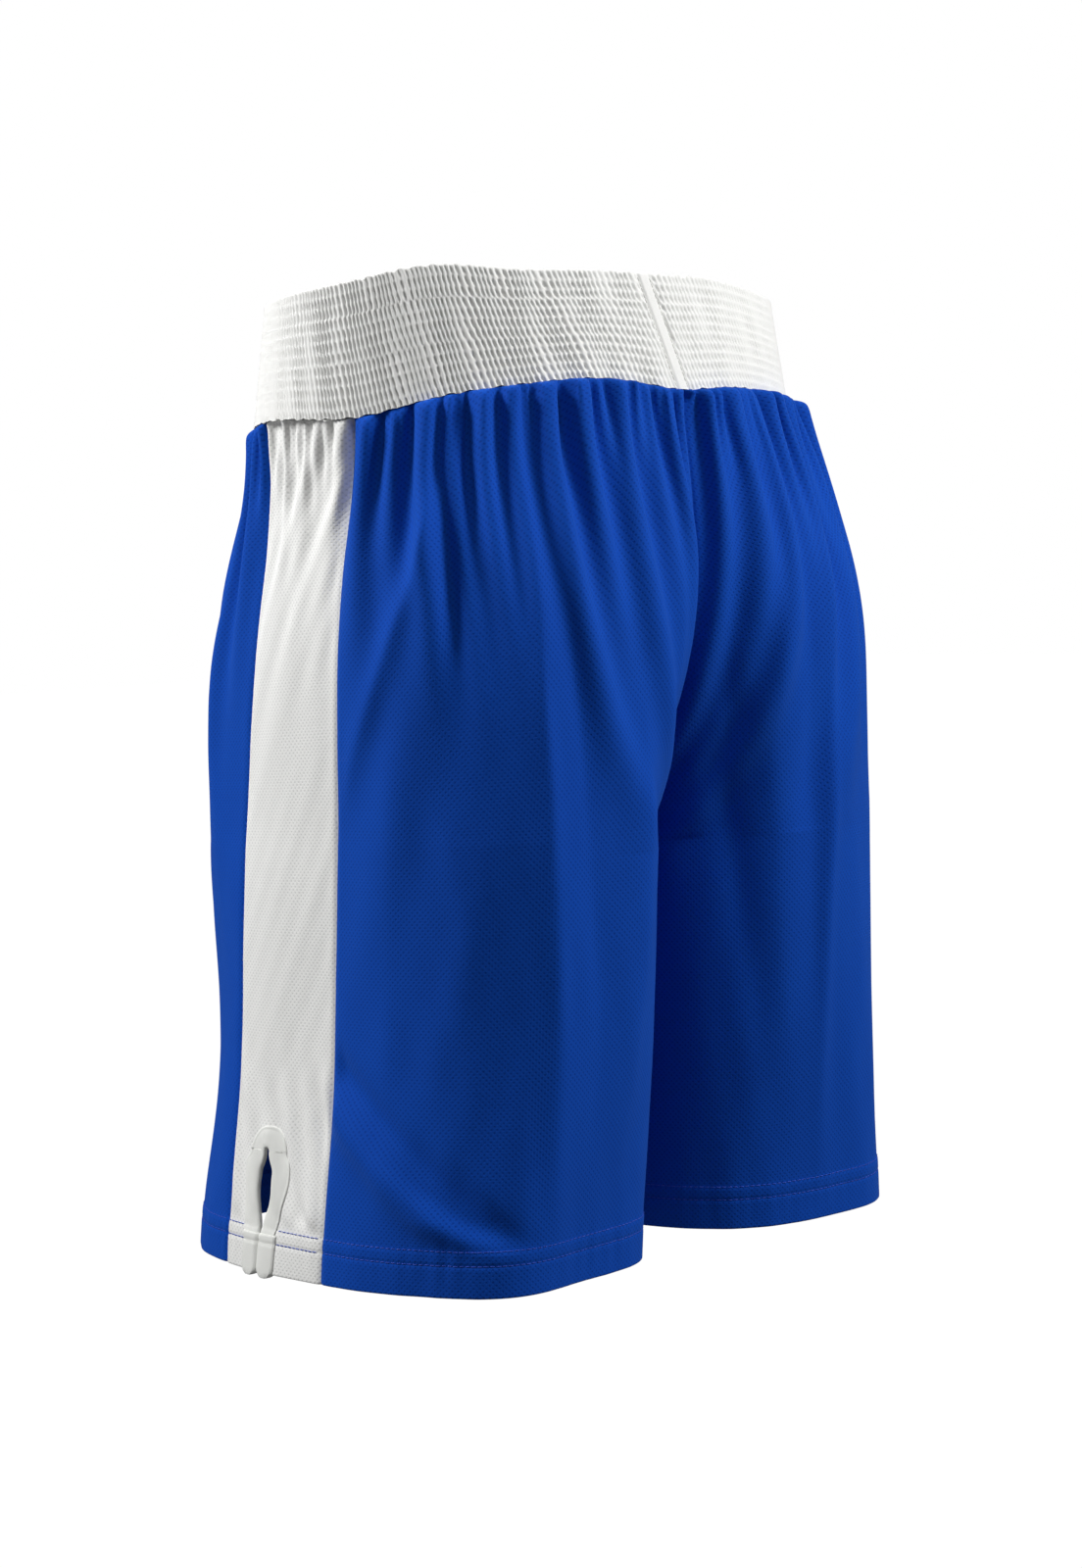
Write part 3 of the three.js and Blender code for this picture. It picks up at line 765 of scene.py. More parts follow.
def side_panel(leg):
    """The white panel above the vent, with a notch that the vent's tape covers."""
    z_rows = row_heights(VENT_HEIGHT, PANEL_TOP)
    front = seam_y("front", z_rows) + SEAM_CLEARANCE
    back = seam_y("back", z_rows) - SEAM_CLEARANCE
    y = front[:, None] + (back - front)[:, None] * column_shares(length=78.0, step=1.3)
    notch = VENT_END_RADIUS + 0.8
    off = np.clip(np.abs(y - VENT_Y) / notch, 0, 1)
    arch = notch * np.sqrt(1 - off**2)
    lift = arch * (1 - smooth(z_rows, VENT_HEIGHT, VENT_HEIGHT + 14))[:, None]
    return white_sheet(f"{leg}_side_cloth", leg, y, z_rows[:, None] + lift)


def vent_flap(leg, face):
    z_rows = row_heights(0.0, VENT_HEIGHT)
    seam = seam_y(face, z_rows) - FACES[face] * SEAM_CLEARANCE
    slit = VENT_Y + FACES[face] * (slit_half_width(z_rows) + 0.6)
    low, high = (slit, seam) if face == "back" else (seam, slit)
    y = low[:, None] + (high - low)[:, None] * column_shares(length=38.0, step=1.2)
    return white_sheet(f"{leg}_vent_{face}_cloth", leg, y, np.broadcast_to(z_rows[:, None], y.shape))


# ---------------- vent tape


def tape_profile():
    """The folded tape's section, outside then inside: distance from the slit and height over the cloth."""
    outside = [
        (TAPE_WIDTH, 0.05), (TAPE_WIDTH + 0.05, 0.40), (TAPE_WIDTH - 0.2, 0.62), (TAPE_WIDTH - 1.0, 0.64),
        (TAPE_WIDTH - 1.5, 0.52), (TAPE_WIDTH - 2.0, 0.66), (6.2, 0.74), (4.2, 0.78), (2.2, 0.78),
        (0.8, 0.70), (-0.2, 0.36), (-0.6, -0.40),
    ]
    inside = [(distance, -2 * KNIT - height) for distance, height in reversed(outside[:-1])]
    return np.array(outside + inside)


def end_caps(index):
    """Flat faces that close both ends of a sweep whose rows fold back on themselves."""
    columns = index.shape[1]
    caps = []
    for row, step in ((index[0], 1), (index[-1], -1)):
        for k in range(columns // 2 - 1):
            caps.append([row[k], row[k + 1], row[columns - 2 - k], row[columns - 1 - k]][::step])
    return np.array(caps)


def tape_strip(name, leg, edge_y, edge_z, out_y, out_z, widen=1.0, bulge=0.0):
    """Sweeps the tape's section along an edge. out is the direction on the cloth away from the slit.

    widen scales each row of the tape about the tape's middle and bulge makes the section thicker.
    """
    distance, height = tape_profile().T
    height = height + bulge * np.where(height > 0, 1, -1) * (np.abs(distance - 5) < 5)
    distance = TAPE_WIDTH / 2 + (distance - TAPE_WIDTH / 2) * np.reshape(widen, (-1, 1))
    y = edge_y[:, None] + out_y[:, None] * distance
    z = edge_z[:, None] + out_z[:, None] * distance
    points = white_points(leg, y, z, height, np.clip(z, 0.9, None))
    stretch = np.arange(len(edge_y))[:, None] * 0.8
    cloth = np.stack(np.broadcast_arrays(distance, stretch, y)[:2], -1)
    index = np.arange(y.size).reshape(y.shape)
    walls = tube_quads(index)
    caps = end_caps(index)
    vertices = points.reshape(-1, 3)
    if leg == "right":
        vertices = vertices * (-1, 1, 1)
    obj = add_mesh(name, vertices, np.concatenate([walls, caps]), cloth.reshape(-1, 2))
    face_outwards(obj)
    for polygon in obj.data.polygons[-len(caps):]:
        polygon.use_smooth = False
    return obj


def face_outwards(obj):
    """Turns the faces of a closed mesh outwards."""
    work = bmesh.new()
    work.from_mesh(obj.data)
    bmesh.ops.recalc_face_normals(work, faces=work.faces)
    work.to_mesh(obj.data)
    work.free()


def vent_side_tape(leg, face):
    side = FACES[face]
    z = np.concatenate([np.arange(3.0, VENT_HEIGHT - 0.4, 0.8), [VENT_HEIGHT, VENT_HEIGHT + 0.5]])
    slope = (slit_half_width(z + 0.5) - slit_half_width(z - 0.5)) * side
    length = np.hypot(1, slope)
    edge_y = VENT_Y + side * slit_half_width(z)
    out_z = -slope * side / length * smooth(z, 0, 14) * (1 - smooth(z, VENT_HEIGHT - 14, VENT_HEIGHT))
    return tape_strip(f"{leg}_vent_{face}_binding", leg, edge_y, z, side * np.ones_like(z), out_z)


def vent_tab(leg, face):
    """The rounded lower end of the tape, which wraps over the hem."""
    side = FACES[face]
    z = np.concatenate([np.arange(-1.9, 2.0, 0.35), np.arange(2.2, TAB_HEIGHT, 0.9)])
    round_end = np.sqrt(1 - np.clip((3.6 - z) / 5.8, 0, 0.97) ** 2)
    round_top = np.sqrt(1 - np.clip((z - TAB_HEIGHT + 2.5) / 3.2, 0, 0.97) ** 2)
    widen = 1.24 * round_end * (0.85 + 0.15 * round_top)
    edge_y = VENT_Y + side * (slit_half_width(z) + 0.5)
    out_y, out_z = side * np.ones_like(z), np.zeros_like(z)
    return tape_strip(f"{leg}_vent_{face}_tab", leg, edge_y, z, out_y, out_z, widen, bulge=0.75)


def vent_arch_tape(leg):
    turn = np.linspace(0, np.pi, 34)
    edge_y = VENT_Y + VENT_END_RADIUS * np.cos(turn)
    edge_z = VENT_HEIGHT + VENT_END_RADIUS * np.sin(turn)
    return tape_strip(f"{leg}_vent_arch_binding", leg, edge_y, edge_z, np.cos(turn), np.sin(turn))


# ---------------- threads


def thread_row(name, path, outward, mirrored, pitch, length, radius):
    """Separate stitches along a path of points, each a small rounded cord lying on the cloth."""
    steps = np.linalg.norm(np.diff(path, axis=0), axis=1)
    run = np.concatenate([[0], np.cumsum(steps)])
    centres = np.arange(pitch / 2, run[-1] - pitch / 2, pitch)
    ends = np.array([-0.5, -0.42, -0.2, 0.2, 0.42, 0.5]) * length
    girth = np.array([0.25, 0.8, 1.0, 1.0, 0.8, 0.25]) * radius
    lift = np.array([-0.9, -0.1, 0.35, 0.35, -0.1, -0.9]) * radius
    sides = 6
    at = centres[:, None] + ends
    middle = np.stack([np.interp(at, run, path[:, k]) for k in range(3)], -1)
    normal = unit(np.stack([np.interp(at, run, outward[:, k]) for k in range(3)], -1))
    tangent = unit(middle[:, -1:] - middle[:, :1])
    across = np.cross(np.broadcast_to(tangent, normal.shape), normal)
    turn = np.arange(sides)[:, None] * 2 * np.pi / sides
    ring = np.cos(turn) * across[:, :, None, :] + np.sin(turn) * normal[:, :, None, :]
    points = (middle + normal * lift[None, :, None])[:, :, None, :] + ring * girth[None, :, None, None]
    index = np.arange(points.size // 3).reshape(points.shape[:3])
    caps = ((0, [0, 5, 4, 3]), (0, [0, 3, 2, 1]), (-1, [0, 1, 2, 3]), (-1, [0, 3, 4, 5]))
    faces = np.concatenate([tube_quads(index)] + [index[:, end, corners] for end, corners in caps])
    vertices = points.reshape(-1, 3)
    if mirrored:
        vertices = vertices * (-1, 1, 1)
    obj = add_mesh(name, vertices, faces, np.stack([vertices[:, 0] + vertices[:, 1], vertices[:, 2]], -1))
    face_outwards(obj)
    return obj


def hem_thread(leg, place, row):
    height = HEM_STITCH_HEIGHTS[row]
    if place in FACES:
        shares = np.linspace(0.006, 0.99, 500)
        grids, _, _ = blue_grids(leg, place, shares, np.array([height]), (0.12, 1.12))
        path, above = (grid[0] for grid in grids)
    else:
        face = place.removeprefix("vent_")
        slit = VENT_Y + FACES[face] * (slit_half_width(height) + TAPE_WIDTH + 1.9)
        y = np.linspace(slit, seam_y(face, height) - FACES[face] * 1.0, 80)
        path, above = (white_points(leg, y, np.full_like(y, height), lift) for lift in (0.3, 1.3))
    name = f"{leg}_{place}_hem_thread_{row}"
    return thread_row(name, path, above - path, leg == "right", pitch=3.1, length=2.7, radius=0.24)


def overlock_strip(name, leg, angle_from, angle_to, z_rows, panel, share, thickness=1.0):
    """A seam allowance inside the leg, wrapped in looped thread that shows as a row of small ribs.

    panel and share say at which seam the strip lies, so that it moves with the drape there.
    """
    across = np.linspace(0, 1, 9)
    angles = angle_from[:, None] + (angle_to - angle_from)[:, None] * across
    z = np.broadcast_to(z_rows[:, None], angles.shape)
    loops = 0.22 * np.sin(2 * np.pi * (z / 2.2 + 0.6 * across)) + 0.25 * np.sin(np.pi * across)
    waves = broad_waves(angles, z, leg) if panel == "side" else 0.0
    outer = keep_off_centre(cloth_point(leg, panel, share, angles, z, waves - 2.6))
    inner = keep_off_centre(cloth_point(leg, panel, share, angles, z, waves - 2.6 - thickness - loops))
    return sheet_object(name, outer, inner, np.stack([across * 5 + 0 * z, z], -1), leg == "right")


# ---------------- waistband


def band_place(turn, height, relief):
    """A point of the waistband: share of the way round from the centre back, height and relief, tilted."""
    share = height / BAND_HEIGHT
    radius_x = HALF_WIDTHS[-1] + (BAND_TOP["half_width"] - HALF_WIDTHS[-1]) * share
    radius_y = HALF_DEPTHS[-1] + (BAND_TOP["half_depth"] - HALF_DEPTHS[-1]) * share
    centre_y = BAND_TOP["centre_y"] * share
    angle = np.pi / 2 + turn * 2 * np.pi - BAND_TWIST * share / BAND_TOP["half_depth"]
    normal_x, normal_y = np.cos(angle) / radius_x, np.sin(angle) / radius_y
    length = np.hypot(normal_x, normal_y)
    x = radius_x * np.cos(angle) + relief * normal_x / length
    y = centre_y + radius_y * np.sin(angle) + relief * normal_y / length
    cos, sin = math.cos(BAND_TILT), math.sin(BAND_TILT)
    return np.stack([x, y * cos - height * sin, SEAM_HEIGHT + y * sin + height * cos], -1)


SHIRR_ROWS = np.arange(4.0, BAND_HEIGHT - 4, 5.0)  # heights of the rows of stitching through the elastic
BAND_RUN = 890.0  # length of the waistband round the waist seam
RIB_PITCH = 2.9
JOIN_HALF_WIDTH = 3.6


def shirring(run, height, strength):
    """Relief of the outer casing: ribs crossed by rows of stitching that pull small puffs out of them."""
    rows = np.concatenate([[-0.6], SHIRR_ROWS, [BAND_HEIGHT + 0.6]])
    row = np.clip(np.searchsorted(rows, height, side="right") - 1, 0, len(rows) - 2)
    across = (height - rows[row]) / (rows[row + 1] - rows[row])
    puff = np.sin(np.pi * np.clip(across, 0, 1)) ** 0.9
    shifts = np.random.default_rng(5).uniform(-0.24, 0.24, len(rows))[row]
    pace = (run + 0.11 * height) / RIB_PITCH + shifts + 0.25 * ripples(run, height, 25, 60, 6)
    pit = 1 - np.abs(np.sin(np.pi * pace)) ** 0.9
    size = np.clip(1.0 + 0.3 * ripples(run, height, 21, 33, 8), 0.5, 1.5)
    left_hip = bell(run / BAND_RUN - 0.66, 0.11)
    size = size * (1 - 0.6 * left_hip)  # pulled smooth at the left hip
    off_join = np.abs(np.minimum(run, BAND_RUN - run) - JOIN_HALF_WIDTH)
    groove = 1.1 * bell(off_join, 0.8)
    size = size * (1 - 0.6 * smooth(height, BAND_HEIGHT - 5, BAND_HEIGHT - 1))
    puckers = 1.2 - 0.2 * pit - 1.6 * puff * size * (pit - 0.05 - 0.22 * left_hip)
    return strength * puckers + 0.9 * (1 - strength) - groove


def join_strength(run):
    """How strongly the casing puckers: not at all on the join at the centre back."""
    off = np.minimum(run, BAND_RUN - run)
    return smooth(off, JOIN_HALF_WIDTH - 0.6, JOIN_HALF_WIDTH + 1.2)


def casing_profile():
    """The casing's section: height, depth behind its outer face and how much of the puckers shows there."""
    outside = np.concatenate([[0.3, 0.4, 0.8], np.arange(1.3, BAND_HEIGHT - 1.2, 0.8)])
    inside = np.arange(BAND_HEIGHT - 1.5, 0.8, -2.2)
    half, crown = BAND_LAYERS / 2, 1.4
    profile = [(height, 0.0, 1.0) for height in outside]
    for turn in np.linspace(0.12, np.pi - 0.12, 9):
        cos = math.cos(turn)
        profile.append((BAND_HEIGHT - crown + crown * math.sin(turn), -half + half * cos, (1 + cos) / 2))
    profile += [(height, -BAND_LAYERS, -0.45) for height in inside]
    low, high = 0.6, BAND_HEIGHT - 2.2
    hollow = ((low, KNIT - BAND_LAYERS), (high, KNIT - BAND_LAYERS), (high, -KNIT), (low, -KNIT))
    return np.array(profile + [(height, depth, 0.0) for height, depth in hollow]).T


def waistband_casing():
    turn = np.linspace(0, 1, 1700)
    height, depth, share = casing_profile()
    run, up = np.meshgrid(turn * BAND_RUN, height)
    strength = join_strength(run)
    top_wave = 0.35 * ripples(run[:1], 0.0, 6.6, 50, 9) * smooth(up, BAND_HEIGHT - 6, BAND_HEIGHT)
    low_wave = 0.4 * ripples(run[:1], 0.0, 10.0, 50, 10) * (1 - smooth(up, 0.6, 5))
    relief = depth[:, None] + share[:, None] * shirring(run, up, strength)
    points = band_place(turn[None, :], up + (top_wave + low_wave) * strength, relief)
    index = np.arange(up.size).reshape(up.shape)
    faces = quads(np.concatenate([index, index[:1]], axis=0))
    cloth = np.stack([run, up], -1)
    return add_mesh("waistband_shirred_casing", points.reshape(-1, 3), faces, cloth.reshape(-1, 2))


def band_ribbon(name, runs, heights, depth, thickness, ribs=0.0):
    """A strip that lies inside the waistband, with optional ribs of looped thread."""
    turn = runs / BAND_RUN
    relief = -depth - np.zeros((len(heights), len(runs)))
    loops = ribs * np.sin(2 * np.pi * (runs[None, :] / 2.2 + heights[:, None] * 0.12))
    outer = band_place(turn[None, :], heights[:, None], relief)
    inner = band_place(turn[None, :], heights[:, None], relief - thickness - loops)
    cloth = np.stack(np.broadcast_arrays(runs[None, :], heights[:, None]), -1)
    return sheet_object(name, outer, inner, cloth, False)


def join_thread(side, place):
    heights = np.linspace(1.5, BAND_HEIGHT - 1.5, 60)
    turn = np.full_like(heights, side * JOIN_HALF_WIDTH / BAND_RUN)
    path = band_place(turn, heights, 0.15)
    outward = unit(path - band_place(turn, heights, 0.0))
    name = f"waistband_join_thread_{place}"
    return thread_row(name, path, outward, False, pitch=2.9, length=2.4, radius=0.26)


# ---------------- materials


class Nodes:
    """Short names for building a node tree."""

    def __init__(self, name):
        self.material = bpy.data.materials.new(name)
        self.material.use_nodes = True
        self.tree = self.material.node_tree
        self.shader = self.tree.nodes["Principled BSDF"]

    def add(self, kind, **inputs):
        node = self.tree.nodes.new(kind)
        for key, value in inputs.items():
            self.put(node.inputs[key.replace("_", " ")], value)
        return node

    def put(self, socket, value):
        if isinstance(value, bpy.types.NodeSocket):
            self.tree.links.new(value, socket)
        else:
            socket.default_value = value

    def maths(self, operation, first, second=None):
        node = self.tree.nodes.new("ShaderNodeMath")
        node.operation = operation
        self.put(node.inputs[0], first)
        if second is not None:
            self.put(node.inputs[1], second)
        return node.outputs[0]

    def mix(self, amount, first, second):
        node = self.tree.nodes.new("ShaderNodeMix")
        node.data_type = "RGBA"
        self.put(node.inputs["Factor"], amount)
        self.put(node.inputs["A"], first)
        self.put(node.inputs["B"], second)
        return node.outputs["Result"]

    def cloth_mm(self):
        """The place on the fabric in its own millimetres: as a vector, across and up."""
        attribute = self.tree.nodes.new("ShaderNodeAttribute")
        attribute.attribute_name = "cloth_mm"
        place = attribute.outputs["Vector"]
        split = self.add("ShaderNodeSeparateXYZ", Vector=place)
        return place, split.outputs["X"], split.outputs["Y"]

    def wave(self, place, pitch):
        return self.maths("SINE", self.maths("MULTIPLY", place, 2 * math.pi / pitch))

    def noise(self, vector, scale, detail=2.0, roughness=0.5):
        node = self.add("ShaderNodeTexNoise", Vector=vector, Scale=scale, Detail=detail, Roughness=roughness)
        return node.outputs["Fac"]

    def mottle(self, colour, shade, *patches):
        """The colour with patches of the shade, each given as a pattern and how strongly it shows."""
        base = linear(colour)
        for pattern, amount in patches:
            base = self.mix(self.maths("MULTIPLY", pattern, amount), base, linear(shade))
        return base

    def bump(self, height, strength, distance, normal=None):
        node = self.add("ShaderNodeBump", Height=height, Strength=strength, Distance=distance)
        if normal is not None:
            self.put(node.inputs["Normal"], normal)
        return node.outputs["Normal"]

    def finish(self, **inputs):
        """Fills in the shader's sockets, named with underscores for spaces."""
        for key, value in inputs.items():
            self.put(self.shader.inputs[key.replace("_", " ")], value)
        return self.material


def linear(colour):
    """Linear colour from sRGB given as 0 to 255."""
    parts = [c / 255 for c in colour]
    return [p / 12.92 if p <= 0.04045 else ((p + 0.055) / 1.055) ** 2.4 for p in parts] + [1.0]


KNIT_PITCH = 3.0  # between neighbouring holes of the knit in a row
# Painted shade: the grey that a woven fabric's colour darkens towards when seen along its face.
GREY_OF_PAINTED_GRAZING_SHADE = (120, 120, 120)
PURE_WHITE = (255, 255, 255)


def knit_material(name, colour, shade, hole_shade, sheen, sheen_tint):
    """Birdseye knit: staggered small holes between soft stitches, with painted shade darkening the holes."""
    n = Nodes(name)
    place, across, up = n.cloth_mm()
    dots = n.maths("MULTIPLY", n.wave(across, KNIT_PITCH), n.wave(up, KNIT_PITCH))
    holes = n.maths("SMOOTH_MAX", n.maths("SUBTRACT", dots, 0.25), 0.0)
    holes = n.maths("MULTIPLY", holes, 1.3)
    cloudy = n.noise(place, 0.02, 3.0)
    fuzzy = n.noise(place, 2.2, 3.0, 0.65)
    base = n.mottle(colour, shade, (cloudy, 0.9), (fuzzy, 0.22))
    normal = n.bump(n.maths("MULTIPLY", holes, -1.0), 0.3, 0.0004)
    # Painted shade: the colour darkens to the third colour in the knit's holes.
    return n.finish(
        Base_Color=n.mix(n.maths("MINIMUM", holes, 0.7), base, linear(hole_shade)),
        Roughness=0.8,
        Sheen_Weight=sheen,
        Sheen_Roughness=0.45,
        Sheen_Tint=linear(sheen_tint),
        Specular_IOR_Level=0.08,
        Normal=n.bump(fuzzy, 0.35, 0.0003, normal),
    )


def woven_material(name, colour, shade, pitch, roughness, sheen=0.1, bump=0.3, grazing_shade=0.0):
    """A plain weave of fine threads. The last argument paints shade: how much the colour darkens to grey
    when seen along its face, standing in for shadow in the hollows of its surface.
    """
    n = Nodes(name)
    place, across, up = n.cloth_mm()
    weave = n.maths("MULTIPLY", n.wave(across, pitch), n.wave(up, pitch))
    cloudy = n.noise(place, 0.08, 3.0)
    fuzzy = n.noise(place, 3.0, 3.0, 0.6)
    base = n.mottle(colour, shade, (cloudy, 0.7), (fuzzy, 0.2))
    facing = n.add("ShaderNodeLayerWeight", Blend=0.5).outputs["Facing"]
    # Painted shade: darker towards grey where the surface is seen at a slant, standing in for shadow in its
    # hollows.
    away = n.maths("MULTIPLY", n.maths("POWER", facing, 2.0), grazing_shade)
    return n.finish(
        Base_Color=n.mix(away, base, linear(GREY_OF_PAINTED_GRAZING_SHADE)),
        Roughness=roughness,
        Sheen_Weight=sheen,
        Specular_IOR_Level=0.3,
        Normal=n.bump(fuzzy, 0.2, 0.0002, n.bump(weave, bump, 0.0001)),
    )


def thread_material(name, colour, shade):
    """Twisted sewing thread."""
    n = Nodes(name)
    place, across, up = n.cloth_mm()
    twist = n.wave(n.maths("ADD", across, up), 0.5)
    base = n.mottle(colour, shade, (n.noise(place, 1.5), 0.6))
    return n.finish(Base_Color=base, Roughness=0.55, Normal=n.bump(twist, 0.3, 0.0001))


def make_materials():
    """The fabrics: colours as sRGB, then the weave's pitch in mm and how its surface takes the light; for
    the knits the third colour is painted shade in the holes, and the satin's last number is painted shade at
    grazing views.
    """
    kinds = (
        (knit_material, "blue_knit", (8, 74, 181), (7, 65, 165), (4, 52, 140), 0.3, (90, 150, 240)),
        (knit_material, "white_knit", (243, 243, 241), (235, 235, 233), (212, 213, 212), 0.05, PURE_WHITE),
        # The satin's last number is painted shade at grazing views.
        (woven_material, "white_satin", (244, 244, 242), (236, 236, 233), 0.5, 0.7, 0.05, 0.3, 0.25),
        (woven_material, "white_tape", (236, 237, 233), (224, 225, 221), 0.6, 0.85),
        (woven_material, "elastic", (242, 242, 238), (228, 228, 222), 1.4, 0.8, 0.0, 0.8),
        (woven_material, "label", (248, 248, 246), (240, 240, 238), 0.4, 0.45, 0.0, 0.15),
        (thread_material, "blue_thread", (34, 74, 190), (24, 54, 150)),
        (thread_material, "white_thread", (242, 242, 238), (226, 226, 222)),
    )
    return {name: make(name, *looks) for make, name, *looks in kinds}


# ---------------- assembly

MATERIALS = make_materials()
ALLOWANCE_TOP = SEAM_HEIGHT - 16
ALLOWANCE_STEP = 0.7


def dress(obj, material, node, leg=None, face=None):
    """Gives a piece its material and hides the CAD part it replaces; a piece of the waist is attached to the
    waist, and any other has its placement baked into its mesh.
    """
    obj.data.materials.append(MATERIALS[material])
    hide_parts(node)
    if leg is None:
        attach(obj, "waist")
    elif face is None:
        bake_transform(obj)
    else:
        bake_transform(obj)


def dress_leg(leg):
    for face in FACES:
        vent = f"{leg}_vent_{face}"
        dress(blue_panel(leg, face), "blue_knit", f"{leg}_{face}_panel", leg)
        dress(vent_flap(leg, face), "white_knit", f"{vent}_flap", leg, face)
        dress(vent_side_tape(leg, face), "white_tape", f"{vent}_tape", leg, face)
        dress(vent_tab(leg, face), "white_tape", f"{vent}_tape", leg, face)
        for row in HEM_STITCH_HEIGHTS:
            dress(hem_thread(leg, face, row), "blue_thread", f"{leg}_{face}_hem_stitch_{row}", leg)
            dress(hem_thread(leg, f"vent_{face}", row), "blue_thread", f"{vent}_hem_stitch_{row}", leg, face)
        dress_seam_allowances(leg, face)
    dress(side_panel(leg), "white_knit", f"{leg}_side_panel", leg)
    dress(vent_arch_tape(leg), "white_tape", f"{leg}_vent_arch_tape", leg)
    z = np.arange(30.0, CROTCH_HEIGHT - 6, ALLOWANCE_STEP)
    _, _, _, radius_y, power = outline(z)
    turn = np.arcsin((2.5 / radius_y) ** (1 / power))
    strip = overlock_strip(f"{leg}_inseam_serging", leg, np.pi - turn, np.pi + turn, z, "back", 1.0)
    dress(strip, "blue_thread", f"{leg}_inseam_overlock", leg)


def dress_seam_allowances(leg, face):
    z = np.arange(VENT_HEIGHT + 20, ALLOWANCE_TOP, ALLOWANCE_STEP)
    seam = seam_y(face, z)
    low, high = angle_at_y(z, seam - 2.5), angle_at_y(z, seam + 2.5)
    share = 1.0 if face == "back" else 0.0
    strip = overlock_strip(f"{leg}_side_{face}_serging", leg, low, high, z, "side", share)
    dress(strip, "white_thread", f"{leg}_side_{face}_overlock", leg)
    z = np.arange(CROTCH_HEIGHT + 60, ALLOWANCE_TOP, ALLOWANCE_STEP)
    radius_x = outline(z)[1]
    near, far = centre_angle(z) - 3 / radius_x, centre_angle(z) - 8 / radius_x
    low, high = (far, near) if face == "back" else (-near, -far)
    strip = overlock_strip(f"{leg}_rise_{face}_serging", leg, low, high, z, face, 1.0)
    dress(strip, "blue_thread", f"{leg}_rise_{face}_overlock", leg)


def dress_waist():
    dress(waistband_casing(), "white_satin", "waistband_casing")
    for side, place in ((-1, "left"), (1, "right")):
        dress(join_thread(side, place), "white_thread", f"waistband_join_stitch_{place}")
    runs = np.arange(0.5, BAND_RUN, ALLOWANCE_STEP)
    heights = np.linspace(2, 8, 9)
    depth = BAND_LAYERS + 0.9
    strip = band_ribbon("waist_seam_serging", runs, heights, depth, thickness=1.0, ribs=0.2)
    dress(strip, "white_thread", "waist_seam_overlock")
    runs, heights = np.linspace(-18, 18, 40), np.linspace(12, 40, 30)
    label = band_ribbon("blank_label", runs, heights, depth=BAND_LAYERS + 1.1, thickness=0.4)
    dress(label, "label", "size_label")
    runs, heights = np.linspace(0.8, BAND_RUN - 0.8, 500), np.linspace(1.6, BAND_HEIGHT - 3.0, 12)
    elastic = band_ribbon("woven_elastic", runs, heights, depth=KNIT + 0.3, thickness=1.2)
    dress(elastic, "elastic", "waistband_elastic")


# ---------------- stage


FLOOR_DROP = 0.30  # metres from the hem to the floor
STAGE_MIDDLE = (0, 0, 0.42)
FILL = 0.15
# Each soft box: direction and height in degrees as seen from the shorts, distance, width and power.
LIGHTS = {
    "left_box": (56, 34, 1.7, 0.6, 32),
    "right_box": (209, 30, 1.7, 0.6, 27),
    "top_box": (140, 60, 2.0, 0.8, 7),
    "front_box": (305, 35, 2.2, 1.4, 9),
}
CAMERA = {"azimuth": 43.9, "pitch": -4.5, "roll": -2.0, "distance": 1.65, "height": 0.37, "lens": 69.5}


def floor_material():
    """Plain studio white, which the camera sees as bright as the backdrop."""
    n = Nodes("floor_white")
    place = n.add("ShaderNodeTexCoord").outputs["Object"]
    shade = n.mottle((104, 104, 104), (98, 98, 98), (n.noise(place, 1.2, 2.0), 0.1))
    n.finish(Base_Color=shade, Roughness=0.9)
    glow = n.add("ShaderNodeEmission", Strength=1.06)
    seen = n.add("ShaderNodeLightPath").outputs["Is Camera Ray"]
    mix = n.add("ShaderNodeMixShader", Fac=n.maths("MULTIPLY", seen, 0.95))
    n.tree.links.new(n.shader.outputs[0], mix.inputs[1])
    n.tree.links.new(glow.outputs[0], mix.inputs[2])
    n.tree.links.new(mix.outputs[0], n.tree.nodes["Material Output"].inputs["Surface"])
    return n.material


def add_floor():
    mesh = bpy.data.meshes.new("floor")
    reach = 12.0
    corners = [(-reach, -reach, 0), (reach, -reach, 0), (reach, reach, 0), (-reach, reach, 0)]
    mesh.from_pydata(corners, [], [(0, 1, 2, 3)])
    mesh.materials.append(floor_material())
    floor = add_to_scene("floor", mesh)
    floor.location.z = CAD_BOX[0][2] - FLOOR_DROP


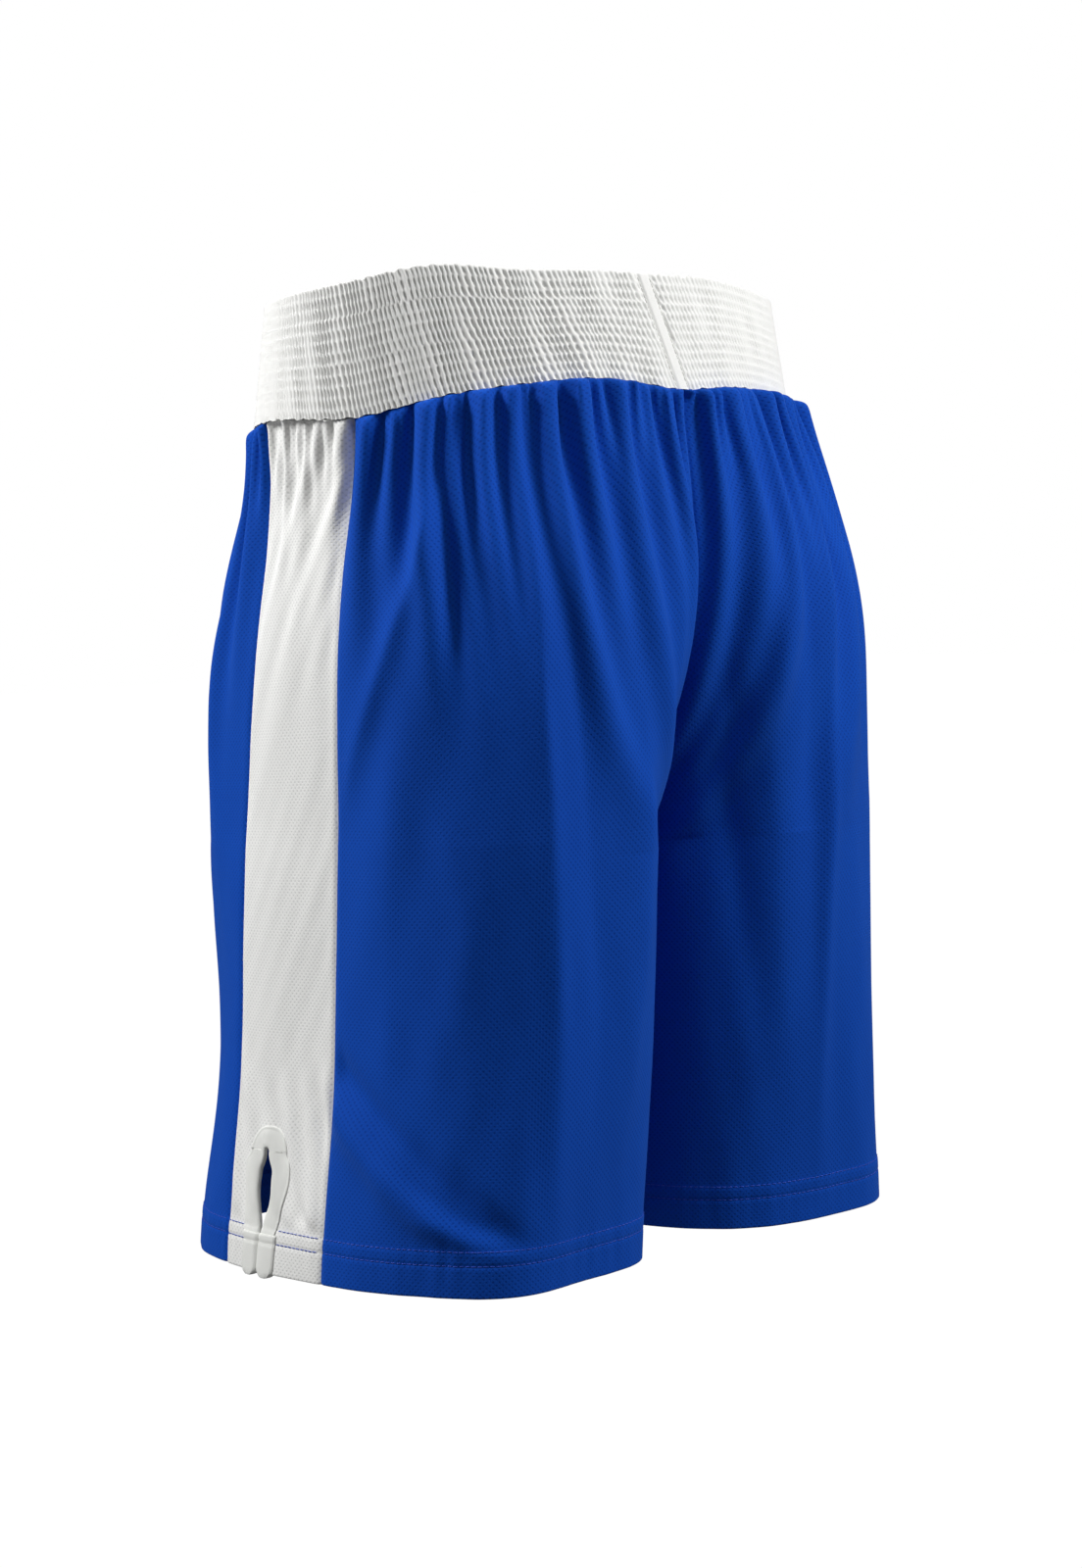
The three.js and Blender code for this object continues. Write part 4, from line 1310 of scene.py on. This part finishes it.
def add_light(name, azimuth, elevation, distance, size, power):
    light = bpy.data.lights.new(name, "AREA")
    light.shape = "DISK"
    light.size = size
    light.energy = power
    a, e = math.radians(azimuth), math.radians(elevation)
    offset = Vector((math.sin(a) * math.cos(e), -math.cos(a) * math.cos(e), math.sin(e))) * distance
    obj = add_to_scene(name, light)
    obj.location = Vector(STAGE_MIDDLE) + offset
    obj.rotation_euler = (-offset).to_track_quat("-Z", "Y").to_euler()


def add_world():
    """A white backdrop for the camera that lights the cloth only a little."""
    world = bpy.data.worlds.new("studio")
    bpy.context.scene.world = world
    world.use_nodes = True
    tree = world.node_tree
    mix = tree.nodes.new("ShaderNodeMixShader")
    backdrop = tree.nodes.new("ShaderNodeBackground")
    for number, (source, strength) in enumerate(((tree.nodes["Background"], FILL), (backdrop, 1.0)), 1):
        source.inputs["Color"].default_value = (1, 1, 1, 1)
        source.inputs["Strength"].default_value = strength
        tree.links.new(source.outputs[0], mix.inputs[number])
    rays = tree.nodes.new("ShaderNodeLightPath")
    tree.links.new(rays.outputs["Is Camera Ray"], mix.inputs["Fac"])
    tree.links.new(mix.outputs[0], tree.nodes["World Output"].inputs["Surface"])


def add_camera():
    """The photo's view: from the wearer's left and behind, looking a little down."""
    azimuth, pitch, roll = (math.radians(CAMERA[angle]) for angle in ("azimuth", "pitch", "roll"))
    away = Vector((math.sin(azimuth), math.cos(azimuth), 0)) * CAMERA["distance"]
    data = bpy.data.cameras.new("photo_camera")
    data.sensor_fit = "VERTICAL"
    data.sensor_height = 36
    data.lens = CAMERA["lens"]
    data.clip_end = 50
    camera = add_to_scene("photo_camera", data)
    place = Matrix.Translation(away + Vector((0, 0, CAMERA["height"])))
    for angle, axis in ((math.pi - azimuth, "Z"), (math.pi / 2 + pitch, "X"), (roll, "Z")):
        place = place @ Matrix.Rotation(angle, 4, axis)
    camera.matrix_world = place
    bpy.context.scene.camera = camera


def add_stage():
    add_floor()
    add_world()
    for name, light in LIGHTS.items():
        add_light(name, *light)
    add_camera()
    bpy.context.scene.view_settings.view_transform = "Standard"


dress_waist()
for leg_name in SIDES:
    dress_leg(leg_name)
add_stage()
